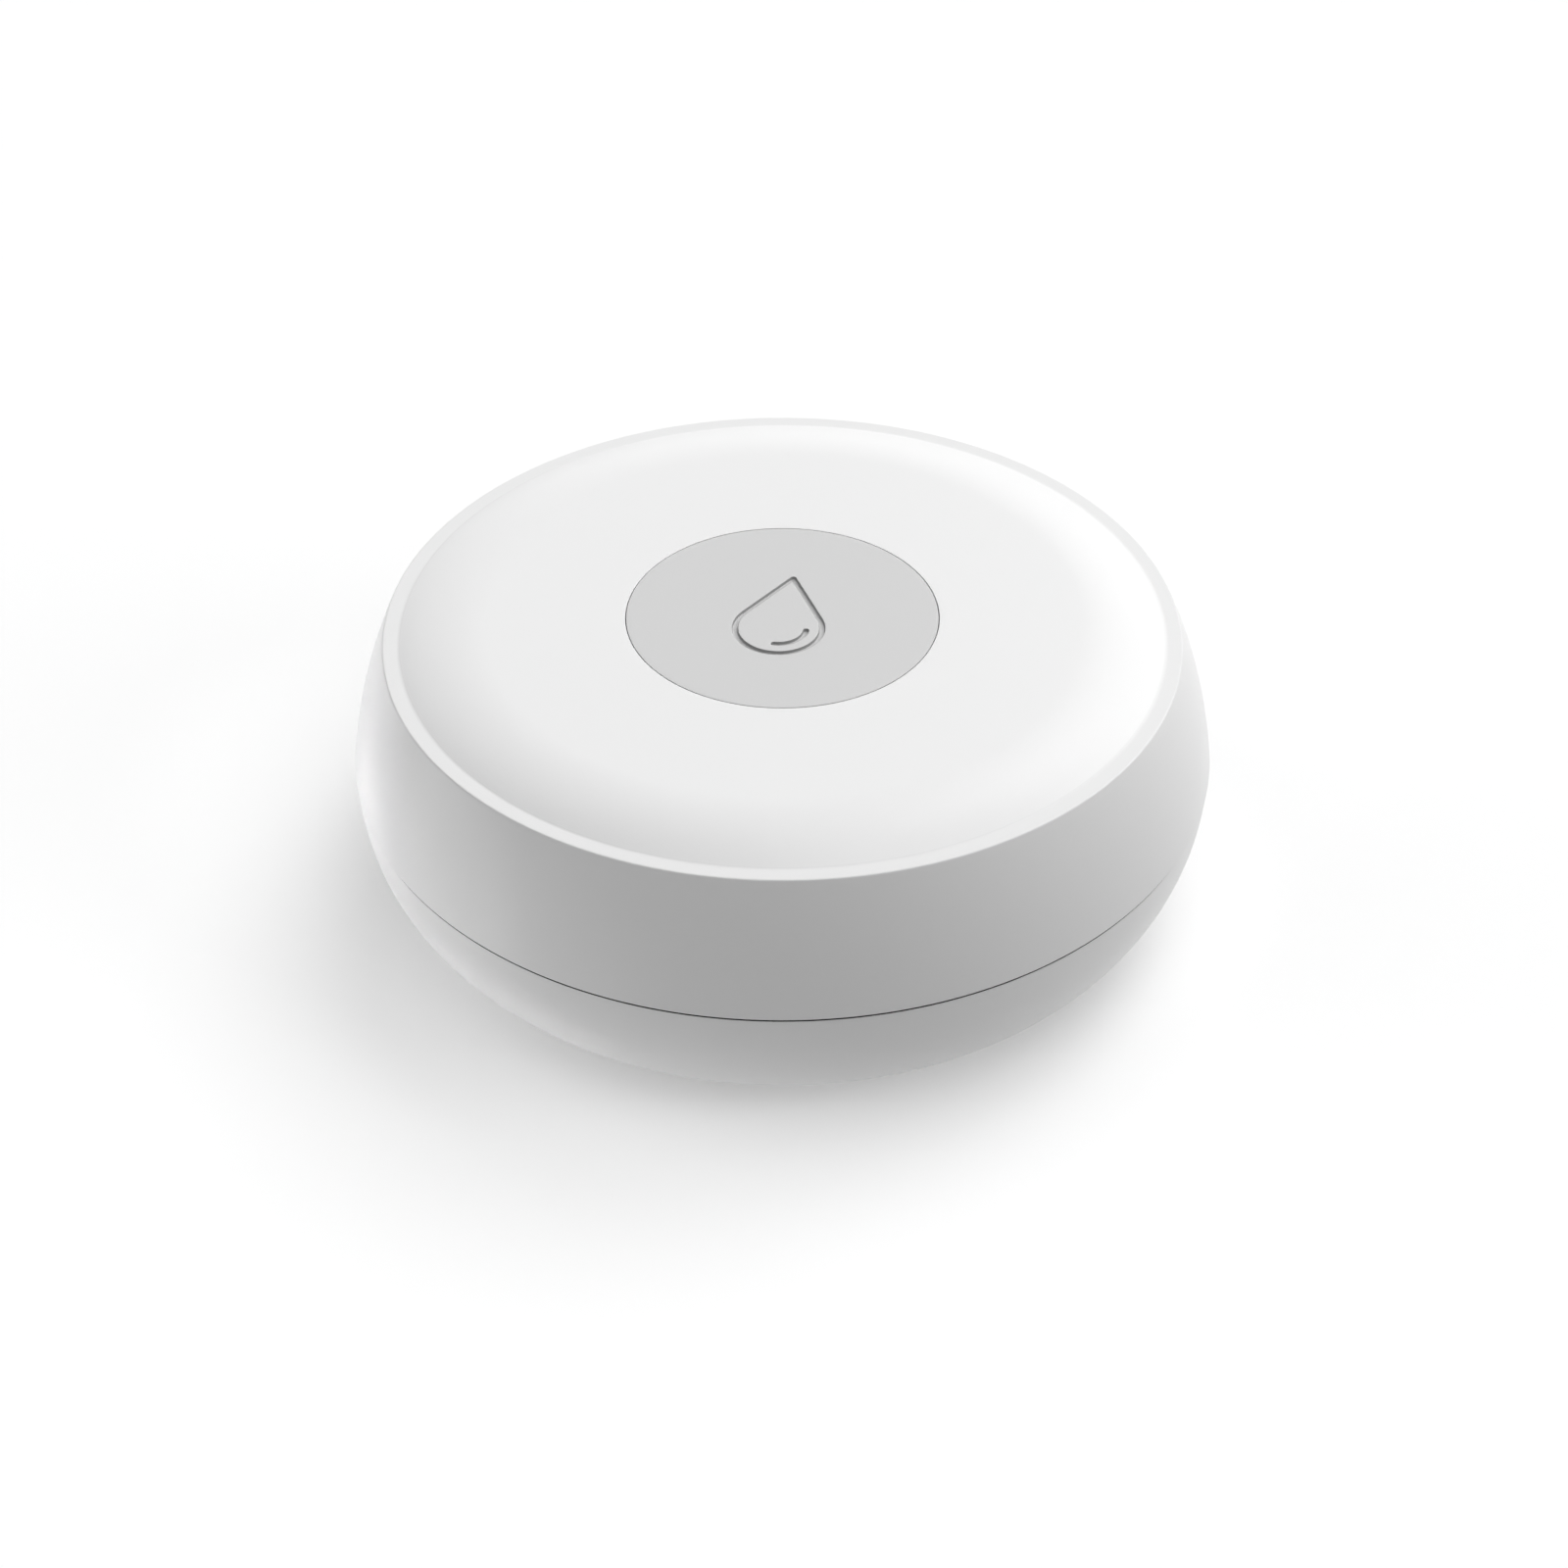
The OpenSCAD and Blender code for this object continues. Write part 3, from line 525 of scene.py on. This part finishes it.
def finish_material(tree, colour, roughness, normal, **more):
    """Principled surface at the end of a material's tree."""
    inputs = {"Base Color": colour, "Roughness": roughness, "Normal": normal, **more}
    shader = add_node(tree, "ShaderNodeBsdfPrincipled", inputs)
    output = add_node(tree, "ShaderNodeOutputMaterial")
    tree.links.new(shader.outputs["BSDF"], output.inputs["Surface"])


def noise(tree, place, scale, detail=3.0):
    """Noise value, by its number of features per metre."""
    return add_node(tree, "ShaderNodeTexNoise",
                    {"Vector": place, "Scale": scale, "Detail": detail}).outputs["Fac"]


def between(tree, value, low, high):
    """Value from 0 to 1 brought to a range."""
    return add_node(tree, "ShaderNodeMapRange",
                    {"Value": value, "To Min": low, "To Max": high}).outputs["Result"]


def blended(tree, value, low, high):
    """Colour between two, by a value."""
    ramp = add_node(tree, "ShaderNodeMix",
                    {"Factor": value, 6: low, 7: high}, data_type="RGBA")
    return ramp.outputs[2]


def relief(tree, height, distance):
    """Normal of a height field whose full rise is the distance, in metres."""
    return add_node(tree, "ShaderNodeBump", {
        "Height": height, "Distance": distance, "Strength": 1.0}).outputs["Normal"]


def in_range(tree, value, low, high):
    """1 where a length in metres lies between two sizes in millimetres, 0 elsewhere."""
    return add_node(tree, "ShaderNodeMath", {
        0: value, 1: (low + high) / 2 * MM, 2: (high - low) / 2 * MM}, operation="COMPARE").outputs[0]


def in_ring(tree, place, inner, outer, low, high):
    """1 between two radii and two heights, 0 elsewhere."""
    level = add_node(tree, "ShaderNodeVectorMath", {
        0: place, 1: (1, 1, 0)}, operation="MULTIPLY").outputs[0]
    radius = add_node(tree, "ShaderNodeVectorMath", {0: level}, operation="LENGTH").outputs["Value"]
    height = add_node(tree, "ShaderNodeSeparateXYZ", {0: place}).outputs["Z"]
    return add_node(tree, "ShaderNodeMath", {
        0: in_range(tree, radius, inner, outer), 1: in_range(tree, height, low, high)},
        operation="MULTIPLY").outputs[0]


def moulded(name, roughness, grain, depth, mottle, tones=()):
    """Moulded plastic or rubber: fine grain, faint clouds in colour and sheen, and rings painted darker as
    painted shade.
    """
    made, tree, place = new_material(name)
    clouds = noise(tree, place, CLOUDS)

    def clouded(tone):
        return blended(tree, clouds, shade(colours[name], tone * (1 - mottle)),
                       shade(colours[name], tone * (1 + mottle)))

    colour = clouded(1.0)
    # Each ring is painted in a darker tone, as painted shade.
    for tone, ring in tones:
        colour = blended(tree, in_ring(tree, place, *ring), colour, clouded(tone))
    sheen = between(tree, noise(tree, place, SHEEN_SPOTS), roughness - SHEEN_RANGE, roughness + SHEEN_RANGE)
    finish_material(tree, colour, sheen, relief(tree, noise(tree, place, grain), depth))
    return made


def metal(name, roughness, streaks, depth):
    """Plated or drawn metal: fine streaks along one axis, and faint stains."""
    made, tree, place = new_material(name)
    stretched = add_node(tree, "ShaderNodeMapping", {"Vector": place, "Scale": streaks}).outputs["Vector"]
    lines = noise(tree, stretched, 1.0, STREAK_DETAIL)
    stains = noise(tree, place, STAINS)
    colour = blended(tree, stains, *(shade(colours[name], tone) for tone in STAIN_TONES))
    sheen = between(tree, lines, roughness - METAL_SHEEN_RANGE, roughness + METAL_SHEEN_RANGE)
    finish_material(tree, colour, sheen, relief(tree, lines, depth), Metallic=1.0)
    return made


def board(name):
    """Circuit board: solder mask with copper tracks showing through it."""
    made, tree, place = new_material(name)
    tracks = add_node(tree, "ShaderNodeTexBrick", {"Vector": place, **TRACKS})
    track = add_node(tree, "ShaderNodeMath", {
        0: 1.0, 1: tracks.outputs["Fac"]}, operation="SUBTRACT").outputs[0]
    colour = blended(tree, track, *(shade(colours[name], tone) for tone in TRACK_TONES))
    sheen = between(tree, noise(tree, place, BOARD_SPOTS), *BOARD_SHEEN)
    finish_material(tree, colour, sheen, relief(tree, track, TRACK_DEPTH))
    return made


line_bed_z = top_z - line_depth
line_wall_z = line_bed_z + line_root / 2
# Painted shade: the flat rim round the dome is painted a little darker than the rest of the shell.
rim_shade_ring = (dome_flat_r, body_r, rim_z - rim_reach, rim_z + rim_reach)
# Painted shade: the faces inside the seam gap between the shells are painted almost black.
seam_shade_ring = (tongue_r - touch, base_r - lip_edge, seam_groove_z - touch, seam_high + touch)
# Painted shade: the bed and, darker still, the walls of the engraved drop and glint are painted darker.
line_bed_shade = (0.0, drop_h, line_bed_z - touch, line_wall_z)
line_wall_shade = (0.0, drop_h, line_wall_z, top_z - line_lip / 2)

# Plastics and rubbers: roughness, grain, its depth, mottle and rings of painted shade. Metals: roughness,
# streaks and their depth.
finishes = {
    "white_plastic": moulded("white_plastic", 0.3, 5000.0, 0.000004, 0.004,
                             [(RIM_SHADE_TONE, rim_shade_ring), (SEAM_SHADE_TONE, seam_shade_ring)]),
    "grey_plastic": moulded("grey_plastic", 0.45, 5000.0, 0.000004, 0.004,
                            [(LINE_BED_SHADE_TONE, line_bed_shade), (LINE_WALL_SHADE_TONE, line_wall_shade)]),
    "clear_silicone": moulded("clear_silicone", 0.45, 1500.0, 0.000006, 0.03),
    "seal_rubber": moulded("seal_rubber", 0.6, 4000.0, 0.00001, 0.15),
    "foot_rubber": moulded("foot_rubber", 0.7, 3500.0, 0.00002, 0.1),
    "black_plastic": moulded("black_plastic", 0.45, 6000.0, 0.00001, 0.15),
    "led_lens": moulded("led_lens", 0.2, 800.0, 0.000004, 0.03),
    "ferrite": moulded("ferrite", 0.65, 9000.0, 0.00002, 0.2),
    "screw_steel": metal("screw_steel", 0.35, (3000.0, 3000.0, 300.0), 0.000004),
    "sheet_steel": metal("sheet_steel", 0.3, (200.0, 4000.0, 4000.0), 0.000003),
    "gold_plate": metal("gold_plate", 0.25, (2500.0, 2500.0, 2500.0), 0.000003),
    "sounder_brass": metal("sounder_brass", 0.35, (250.0, 4000.0, 4000.0), 0.000004),
    "capacitor_can": metal("capacitor_can", 0.35, (2500.0, 2500.0, 150.0), 0.000004),
    "cell_can": metal("cell_can", 0.3, (300.0, 3500.0, 3500.0), 0.000003),
    "green_board": board("green_board"),
    "blue_board": board("blue_board"),
}

for name, node in frame["nodes"].items():
    node.data.materials.clear()
    node.data.materials.append(finishes[slots[name]])


# Upper shell

def upper_shell():
    groove_low = housing_seal_z - housing_seal_d / 2 - play
    groove_high = housing_seal_z + housing_seal_d / 2 + play
    outline = softened([
        (tongue_inner_r, tongue_z, plain_edge),
        (tongue_r, tongue_z, plain_edge),
        (tongue_r, groove_low),
        (housing_groove_r, groove_low),
        (housing_groove_r, groove_high),
        (tongue_r, groove_high),
        (tongue_r, seam_high),
        (body_r, seam_high, seam_edge),
        *arc((body_r, seam_high), (rim_r, rim_z), side_bulge),
        (rim_r, rim_z, rim_edge),
        (rim_inner_r, rim_z, rim_valley),
        *arc((rim_inner_r, rim_z), (dome_flat_r, top_z), crown_bulge(dome_edge_w, dome_h), DOME_STEPS),
        (dome_flat_r, top_z),
        (hole_r + flat_band, top_z),
        (hole_r, top_z, hole_edge),
        (hole_r, step_z),
        (well_r, step_z),
        (well_r, seal_top, plain_edge),
        (guide_r, seal_top, plain_edge),
        (guide_r, ceiling_z),
        (dome_flat_r, ceiling_z),
        (rim_r - wall, rim_z - top_t),
        (tongue_inner_r, seam_z),
    ])
    keys = around(key_r, key_deg,
                  block(rectangle(0, well_r - key_r + root, key_w), seal_top, step_z + root))
    case_bosses = around(fastener_r, column_deg, bar(case_boss_r, column_top + touch, boss_top))
    clamp_bosses = around(clamp_circle_r, clamp_deg, bar(clamp_boss_r, seal_z, boss_top))
    case_pilots = around(fastener_r, column_deg,
                         bar(case_screw_r + screw_gap, column_top - part_gap, case_screw_top + part_gap))
    clamp_pilots = around(clamp_circle_r, clamp_deg,
                          bar(clamp_pilot_r, seal_z - part_gap, clamp_screw_top + part_gap))
    return piece("upper_shell_moulding", lathe(outline), "upper_shell", "housing",
                 [keys, case_bosses, clamp_bosses], [case_pilots, clamp_pilots])


# Lower shell

def stepped_hole(mouth_r, *steps):
    """Cutter that starts below the underside with a chamfered mouth and narrows step by step upwards."""
    outline = [(0, base_z - part_gap), (mouth_r + mouth_edge, base_z - part_gap),
               (mouth_r + mouth_edge, base_z), (mouth_r, base_z + mouth_edge)]
    low_r = mouth_r
    for r, z in zip([s[0] for s in steps[1:]] + [0], [s[1] for s in steps]):
        outline += [(low_r, z), (r, z)]
        low_r = r
    return lathe(outline, SMALL_TURN)


def lower_shell():
    outline = softened([
        (recess_r, base_z, mouth_edge),
        (recess_r + flat_band, base_z),
        *bowl(underside_r, seam_low, base_r - underside_r, seam_low - base_z),
        (base_r, seam_low, lip_edge),
        (seam_lip_r, seam_low, lip_edge),
        (seam_groove_r, seam_groove_z),
        (seam_groove_r, seam_low, plain_edge),
        (land_r, seam_low, plain_edge),
        *bowl(inner_floor_r, land_z, land_r - inner_floor_r, land_z - floor_z)[::-1],
        (collar_r, floor_z),
        (collar_r, collar_top, plain_edge),
        (cup_r, collar_top),
        (cup_r, cup_top, plain_edge),
        (cup_inner_r, cup_top, plain_edge),
        (cup_inner_r, throat_top),
        (throat_r, throat_top),
        (throat_r, recess_top),
        (recess_r, recess_top),
    ])
    uprights_z = floor_z - root
    columns = around(fastener_r, column_deg, bar(column_r, uprights_z, column_top))
    probe_bosses = around(fastener_r, probe_deg, bar(probe_boss_r, uprights_z, probe_boss_top))
    board_bosses = around(board_screw_r, board_screw_deg, bar(board_boss_r, uprights_z, board_low.z))
    column_holes = around(fastener_r, column_deg, stepped_hole(
        foot_r + play, (foot_r + play, foot_top), (case_head_r + play, case_seat_z),
        (case_screw_r + screw_gap, column_top + part_gap)))
    probe_holes = around(fastener_r, probe_deg, stepped_hole(
        probe_seat_r, (probe_seat_r, probe_seat_z), (pin_r + screw_gap, probe_boss_top + part_gap)))
    pilots = around(board_screw_r, board_screw_deg,
                    bar(board_pilot_r, board_screw_low.z - part_gap, board_low.z + part_gap))
    channels = around(0, 0, block(arc_band(neck_r, channel_r, channel_mid_deg, channel_deg),
                                  ledge_top, channel_top))
    entries = around(0, 0, block(arc_band(neck_r, channel_r + play, -door_turn_deg, slot_deg),
                                 door_top, lug_z))
    window = block(rectangle(cup_inner_r - part_gap, cup_r + part_gap, window_w),
                   window_z, cup_top + part_gap)
    return piece("lower_shell_moulding", lathe(outline), "lower_shell", "housing",
                 [columns, probe_bosses, board_bosses],
                 [column_holes, probe_holes, pilots, channels, entries, window])


# Button with the drop in its face

def drop_loop(inset):
    """Outline of the drop, moved inwards by the inset."""
    r = drop_r - inset
    tip_r = max(drop_tip_r - inset, touch)
    tip_middle = drop_middle + (r - tip_r) / math.sin(drop_tip)
    tip = [(tip_r * math.cos(a), tip_middle + tip_r * math.sin(a))
           for a in np.linspace(drop_tip, math.pi - drop_tip, TIP_POINTS)]
    curve = [(r * math.cos(a), drop_middle + r * math.sin(a))
             for a in np.linspace(math.pi - drop_tip, 2 * math.pi + drop_tip, CURVE_POINTS)]
    side = np.linspace(0, 1, SIDE_POINTS)[1:-1]
    left = [tuple(np.array(tip[-1]) * (1 - t) + np.array(curve[0]) * t) for t in side]
    right = [tuple(np.array(curve[-1]) * (1 - t) + np.array(tip[0]) * t) for t in side]
    return [*tip, *left, *curve, *right]


def glint_loop(half_w):
    """Outline of the glint's line, an arc with round ends, at a distance from its middle line."""
    end = -glint_span
    far = np.linspace(end, 0, GLINT_POINTS)
    cap = np.linspace(0, math.pi, TIP_POINTS)[1:-1]

    def at(r, a):
        return np.array([r * math.cos(a), drop_middle + r * math.sin(a)])

    outer = [at(glint_r + half_w, a) for a in far]
    inner = [at(glint_r - half_w, a) for a in far[::-1]]
    first_cap = [at(glint_r, 0) + half_w * np.array([math.cos(c), math.sin(c)]) for c in cap]
    last_cap = [at(glint_r, end) - half_w * np.array([math.cos(end + c), math.sin(end + c)])
                for c in cap]
    return [tuple(p) for p in [*outer, *first_cap, *inner, *last_cap]]


def line_section():
    """Insets and depths across an engraved line, from the flat on one side to the flat on the other."""
    return softened([
        (-line_margin, 0.0),
        (0.0, 0.0, line_lip),
        (line_draft, -line_depth, line_root),
        (line_w - line_draft, -line_depth, line_root),
        (line_w, 0.0, line_lip),
        (line_w + line_margin, 0.0),
    ])


def button_face(points, faces, rim):
    """Fills the face inside the rim's points, with the drop and the glint engraved in it."""

    def add_loop(loop, z):
        first = len(points)
        points.extend((x, y, z) for x, y in loop)
        return list(range(first, len(points)))

    def bridge(outer, inner):
        for k in range(len(outer)):
            n = (k + 1) % len(outer)
            faces.append([outer[k], outer[n], inner[n], inner[k]])

    def fill(*loops):
        indices = [v for loop in loops for v in loop]
        flat = [[Vector(points[v]) for v in loop] for loop in loops]
        for triangle in tessellate_polygon(flat):
            a, b, c = (indices[t] for t in triangle)
            ab, ac = Vector(points[b]) - Vector(points[a]), Vector(points[c]) - Vector(points[a])
            faces.append([a, b, c] if ab.cross(ac).z > 0 else [a, c, b])

    section = line_section()
    drop = [add_loop(drop_loop(inset), top_z + depth) for inset, depth in section]
    for outer, inner in zip(drop, drop[1:]):
        bridge(outer, inner)
    half_section = [(line_w / 2 - inset, depth) for inset, depth in section if inset < line_w / 2]
    glint = [add_loop(glint_loop(half), top_z + depth) for half, depth in half_section]
    for outer, inner in zip(glint, glint[1:]):
        bridge(outer, inner)
    fill(rim, drop[0])
    fill(drop[-1], glint[0])
    fill(glint[-1])


def button_cap():
    outline = softened([
        (0, stem_z),
        (stem_r, stem_z, plain_edge),
        (stem_r, face_z),
        (button_hollow_r, face_z),
        (button_hollow_r, flange_z, plain_edge),
        (flange_r, flange_z, plain_edge),
        (flange_r, flange_top, plain_edge),
        (button_r, flange_top),
        (button_r, top_z, button_edge),
        (button_r - flat_band, top_z),
    ])
    points, faces = lathe(outline, closed=False)
    button_face(points, faces, list(range(len(points) - TURN, len(points))))
    ribs = around(0, key_deg,
                  block(rectangle(stem_r - root, button_hollow_r + root, rib_t), rib_z, face_z + root))
    notch_r = key_r - part_gap
    notches = around(notch_r, key_deg,
                     block(rectangle(0, flange_r - notch_r + part_gap, key_w + 2 * play),
                           flange_z - part_gap, flange_top + touch))
    return piece("button_moulding", (points, faces), "button_cap", "button", [ribs], [notches])


# Button seal and snap dome, which give way under the button in the real sensor, each with a mesh of its own

def button_seal():
    outline = softened([
        (0, pad_z),
        (pad_r, pad_z, plain_edge),
        (pad_r, seal_web_z, plain_edge),
        (seal_web_r, seal_web_z),
        (seal_web_r, seal_z, plain_edge),
        (guide_r, seal_z, plain_edge),
        (guide_r, seal_top, plain_edge),
        (0, seal_top),
    ])
    seal = piece("button_membrane", lathe(outline), "button_seal", "housing")
    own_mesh(seal)


def switch_dome():
    low = (snap_r, snap_low.z)
    high = (0.0, snap_low.z + snap_rise)
    under = [low, *arc(low, high, crown_bulge(snap_r, snap_rise), SNAP_STEPS), high]
    outline = [*under[::-1], *((r, z + snap_t) for r, z in under)]
    dome = piece("snap_dome", lathe(outline, SMALL_TURN), "switch_dome", "housing")
    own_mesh(dome)


# Battery door with its coin slot and lugs

def battery_door():
    groove_low = door_seal_z - door_seal_d / 2 - play
    groove_high = door_seal_z + door_seal_d / 2 + play
    outline = softened([
        (0, base_z),
        (door_r - flat_band, base_z),
        (door_r, base_z, mouth_edge),
        (door_r, groove_low),
        (door_groove_r, groove_low),
        (door_groove_r, groove_high),
        (door_r, groove_high),
        (door_r, door_top, plain_edge),
        (neck_r, door_top),
        (neck_r, neck_top, plain_edge),
        (cup_inner_r, neck_top, plain_edge),
        (cup_inner_r, door_top),
        (0, door_top),
    ])
    lugs = around(0, 0, block(arc_band(cup_inner_r + root, lug_r, 0, lug_deg), lug_z, lug_top))
    half_l = coin_slot_l / 2
    mouth = rectangle(-half_l - mouth_edge, half_l + mouth_edge, coin_slot_w + 2 * mouth_edge)
    straight = rectangle(-half_l, half_l, coin_slot_w)
    slot = loft([(mouth, base_z - part_gap), (mouth, base_z), (straight, base_z + mouth_edge),
                 (straight, coin_slot_top)])
    return piece("battery_door_moulding", lathe(outline), "battery_door", "door", [lugs], [slot])


# Feet and probes

def rubber_feet():
    outline = softened([(0, 0), (foot_r, 0, foot_edge), (foot_r, foot_top, plain_edge), (0, foot_top)])
    feet = around(fastener_r, column_deg, lathe(outline, SMALL_TURN))
    return piece("rubber_feet_moulding", feet, "rubber_feet", "housing")


def probe_pins():
    outline = softened([
        (0, pin_low.z),
        (pin_head_r, pin_low.z, pin_head_edge),
        (pin_head_r, base_z, plain_edge / 2),
        (pin_r, base_z),
        (pin_r, pin_high.z, plain_edge),
        (0, pin_high.z),
    ])
    pins = around(fastener_r, probe_deg, lathe(outline, SMALL_TURN))
    return piece("probe_pins_turned", pins, "probe_pins", "housing")


upper_shell()
lower_shell()
button_cap()
button_seal()
switch_dome()
battery_door()
rubber_feet()
probe_pins()


# Floor, light and camera

FLOOR_HALF = 3.0
FLOOR_SEEN = (0.97, 0.97, 0.97, 1.0)
FLOOR_BOUNCE = (0.58, 0.58, 0.58, 1.0)
FLOOR_GLOW = 0.2
FULL_SUN = math.pi

# Name, azimuth, elevation and spread in degrees, level, and what the lamp shines on
LAMPS = [
    ("key_right", 129.7, 55.0, 60.0, 0.395, "object"),
    ("key_side", 119.7, 35.0, 40.0, 0.235, "object"),
    ("key_back", 159.7, 35.0, 40.0, 0.14, "object"),
    ("back_fill", 189.7, 35.0, 60.0, 0.195, "object"),
    ("top_fill", 9.7, 80.0, 60.0, 0.26, "object"),
    ("table_left", 279.7, -20.0, 40.0, 0.175, "object"),
    ("table_back", 234.7, -20.0, 40.0, 0.095, "object"),
    ("table_low", 249.7, -45.0, 50.0, 0.08, "object"),
    ("table_front", 309.7, -20.0, 40.0, 0.05, "object"),
    ("floor_key", 159.7, 55.0, 40.0, 0.275, "floor"),
    ("floor_side", 129.7, 55.0, 40.0, 0.165, "floor"),
    ("floor_right", 79.7, 25.0, 30.0, 0.2, "floor"),
    ("floor_front", 9.7, 40.0, 60.0, 0.2, "floor"),
    ("floor_top", 54.7, 70.0, 50.0, 0.345, "floor"),
    ("floor_left", 279.7, 35.0, 60.0, 0.25, "floor"),
]
VIEW_AZIMUTH = math.radians(9.7)
VIEW_ELEVATION = math.radians(37.765)
VIEW_DISTANCE = 269.7
VIEW_LENS = 76.6
SENSOR_W = 36.0
AIM_Z = 8.76
AIM_RIGHT = 0.127
CLIP_START = 0.01


def seen_directly(tree):
    """1 for rays that show a place to the camera, straight or in a reflection or through glass."""
    path = add_node(tree, "ShaderNodeLightPath").outputs
    seen = add_node(tree, "ShaderNodeMath", {
        0: path["Is Camera Ray"], 1: path["Is Glossy Ray"]}, operation="MAXIMUM").outputs[0]
    return add_node(tree, "ShaderNodeMath", {
        0: seen, 1: path["Is Transmission Ray"]}, operation="MAXIMUM").outputs[0]


def floor():
    """White shooting table, which lets the lamps below it shine through to the object."""
    points = [(-1, -1, 0), (1, -1, 0), (1, 1, 0), (-1, 1, 0)]
    plane = mesh_object("floor", ([Vector(p) * FLOOR_HALF / MM for p in points], [[0, 1, 2, 3]]))
    plane.visible_shadow = False
    made, tree, place = new_material("floor_paint")
    seen = seen_directly(tree)
    paint = add_node(tree, "ShaderNodeBsdfDiffuse", {
        "Color": blended(tree, seen, FLOOR_BOUNCE, FLOOR_SEEN)})
    glow = add_node(tree, "ShaderNodeEmission", {"Color": (1, 1, 1, 1), "Strength": 1.0})
    share = add_node(tree, "ShaderNodeMath", {0: seen, 1: FLOOR_GLOW}, operation="MULTIPLY")
    mixed = add_node(tree, "ShaderNodeMixShader", {
        0: share.outputs[0], 1: paint.outputs[0], 2: glow.outputs[0]})
    output = add_node(tree, "ShaderNodeOutputMaterial")
    tree.links.new(mixed.outputs[0], output.inputs["Surface"])
    plane.data.materials.append(made)
    return plane


def world():
    """White where the camera or a reflection sees it, with all other light left to the lamps."""
    made = bpy.data.worlds.new("studio")
    made.use_nodes = True
    tree = made.node_tree
    tree.nodes.clear()
    white = add_node(tree, "ShaderNodeBackground", {
        "Color": (1, 1, 1, 1), "Strength": seen_directly(tree)})
    output = add_node(tree, "ShaderNodeOutputWorld")
    tree.links.new(white.outputs[0], output.inputs["Surface"])
    bpy.context.scene.world = made


def direction(azimuth, elevation):
    """Unit vector towards a place seen from the object, where azimuth 0 is the front, -Y."""
    return Vector((math.sin(azimuth) * math.cos(elevation), -math.cos(azimuth) * math.cos(elevation),
                   math.sin(elevation)))


def light_group(name, plane, state):
    """Group by which a lamp shines on the floor alone, or on all but the floor."""
    group = bpy.data.collections.new(name)
    group.objects.link(plane)
    group.collection_objects[0].light_linking.link_state = state
    return group


def sun(name, azimuth, elevation, spread, level, group):
    """Wide soft lamp. At level 1 a surface that faces it shows its own colour.

    A lamp below the table is sampled by its own light alone, because the table stops rays that meet it.
    """
    data = bpy.data.lights.new(name, "SUN")
    data.energy = level * FULL_SUN
    data.angle = math.radians(spread)
    data.cycles.use_multiple_importance_sampling = elevation > 0
    lamp = bpy.data.objects.new(name, data)
    towards = direction(math.radians(azimuth), math.radians(elevation))
    lamp.location = towards
    lamp.rotation_mode = "QUATERNION"
    lamp.rotation_quaternion = towards.to_track_quat("Z", "Y")
    lamp.light_linking.receiver_collection = group
    bpy.context.scene.collection.objects.link(lamp)
    return lamp


def lamps(plane):
    groups = {"floor": light_group("floor_alone", plane, "INCLUDE"),
              "object": light_group("all_but_floor", plane, "EXCLUDE")}
    for name, azimuth, elevation, spread, level, lit in LAMPS:
        sun(name, azimuth, elevation, spread, level, groups[lit])


def camera():
    data = bpy.data.cameras.new("camera")
    data.lens = VIEW_LENS
    data.sensor_width = SENSOR_W
    data.clip_start = CLIP_START
    made = bpy.data.objects.new("camera", data)
    back = direction(VIEW_AZIMUTH, VIEW_ELEVATION)
    right = Vector((math.cos(VIEW_AZIMUTH), math.sin(VIEW_AZIMUTH), 0))
    aim = Vector((0, 0, AIM_Z)) + right * AIM_RIGHT
    made.location = (aim + back * VIEW_DISTANCE) * MM
    made.rotation_mode = "QUATERNION"
    made.rotation_quaternion = back.to_track_quat("Z", "Y")
    bpy.context.scene.collection.objects.link(made)
    bpy.context.scene.camera = made


world()
lamps(floor())
camera()
bpy.context.scene.view_settings.view_transform = "Standard"
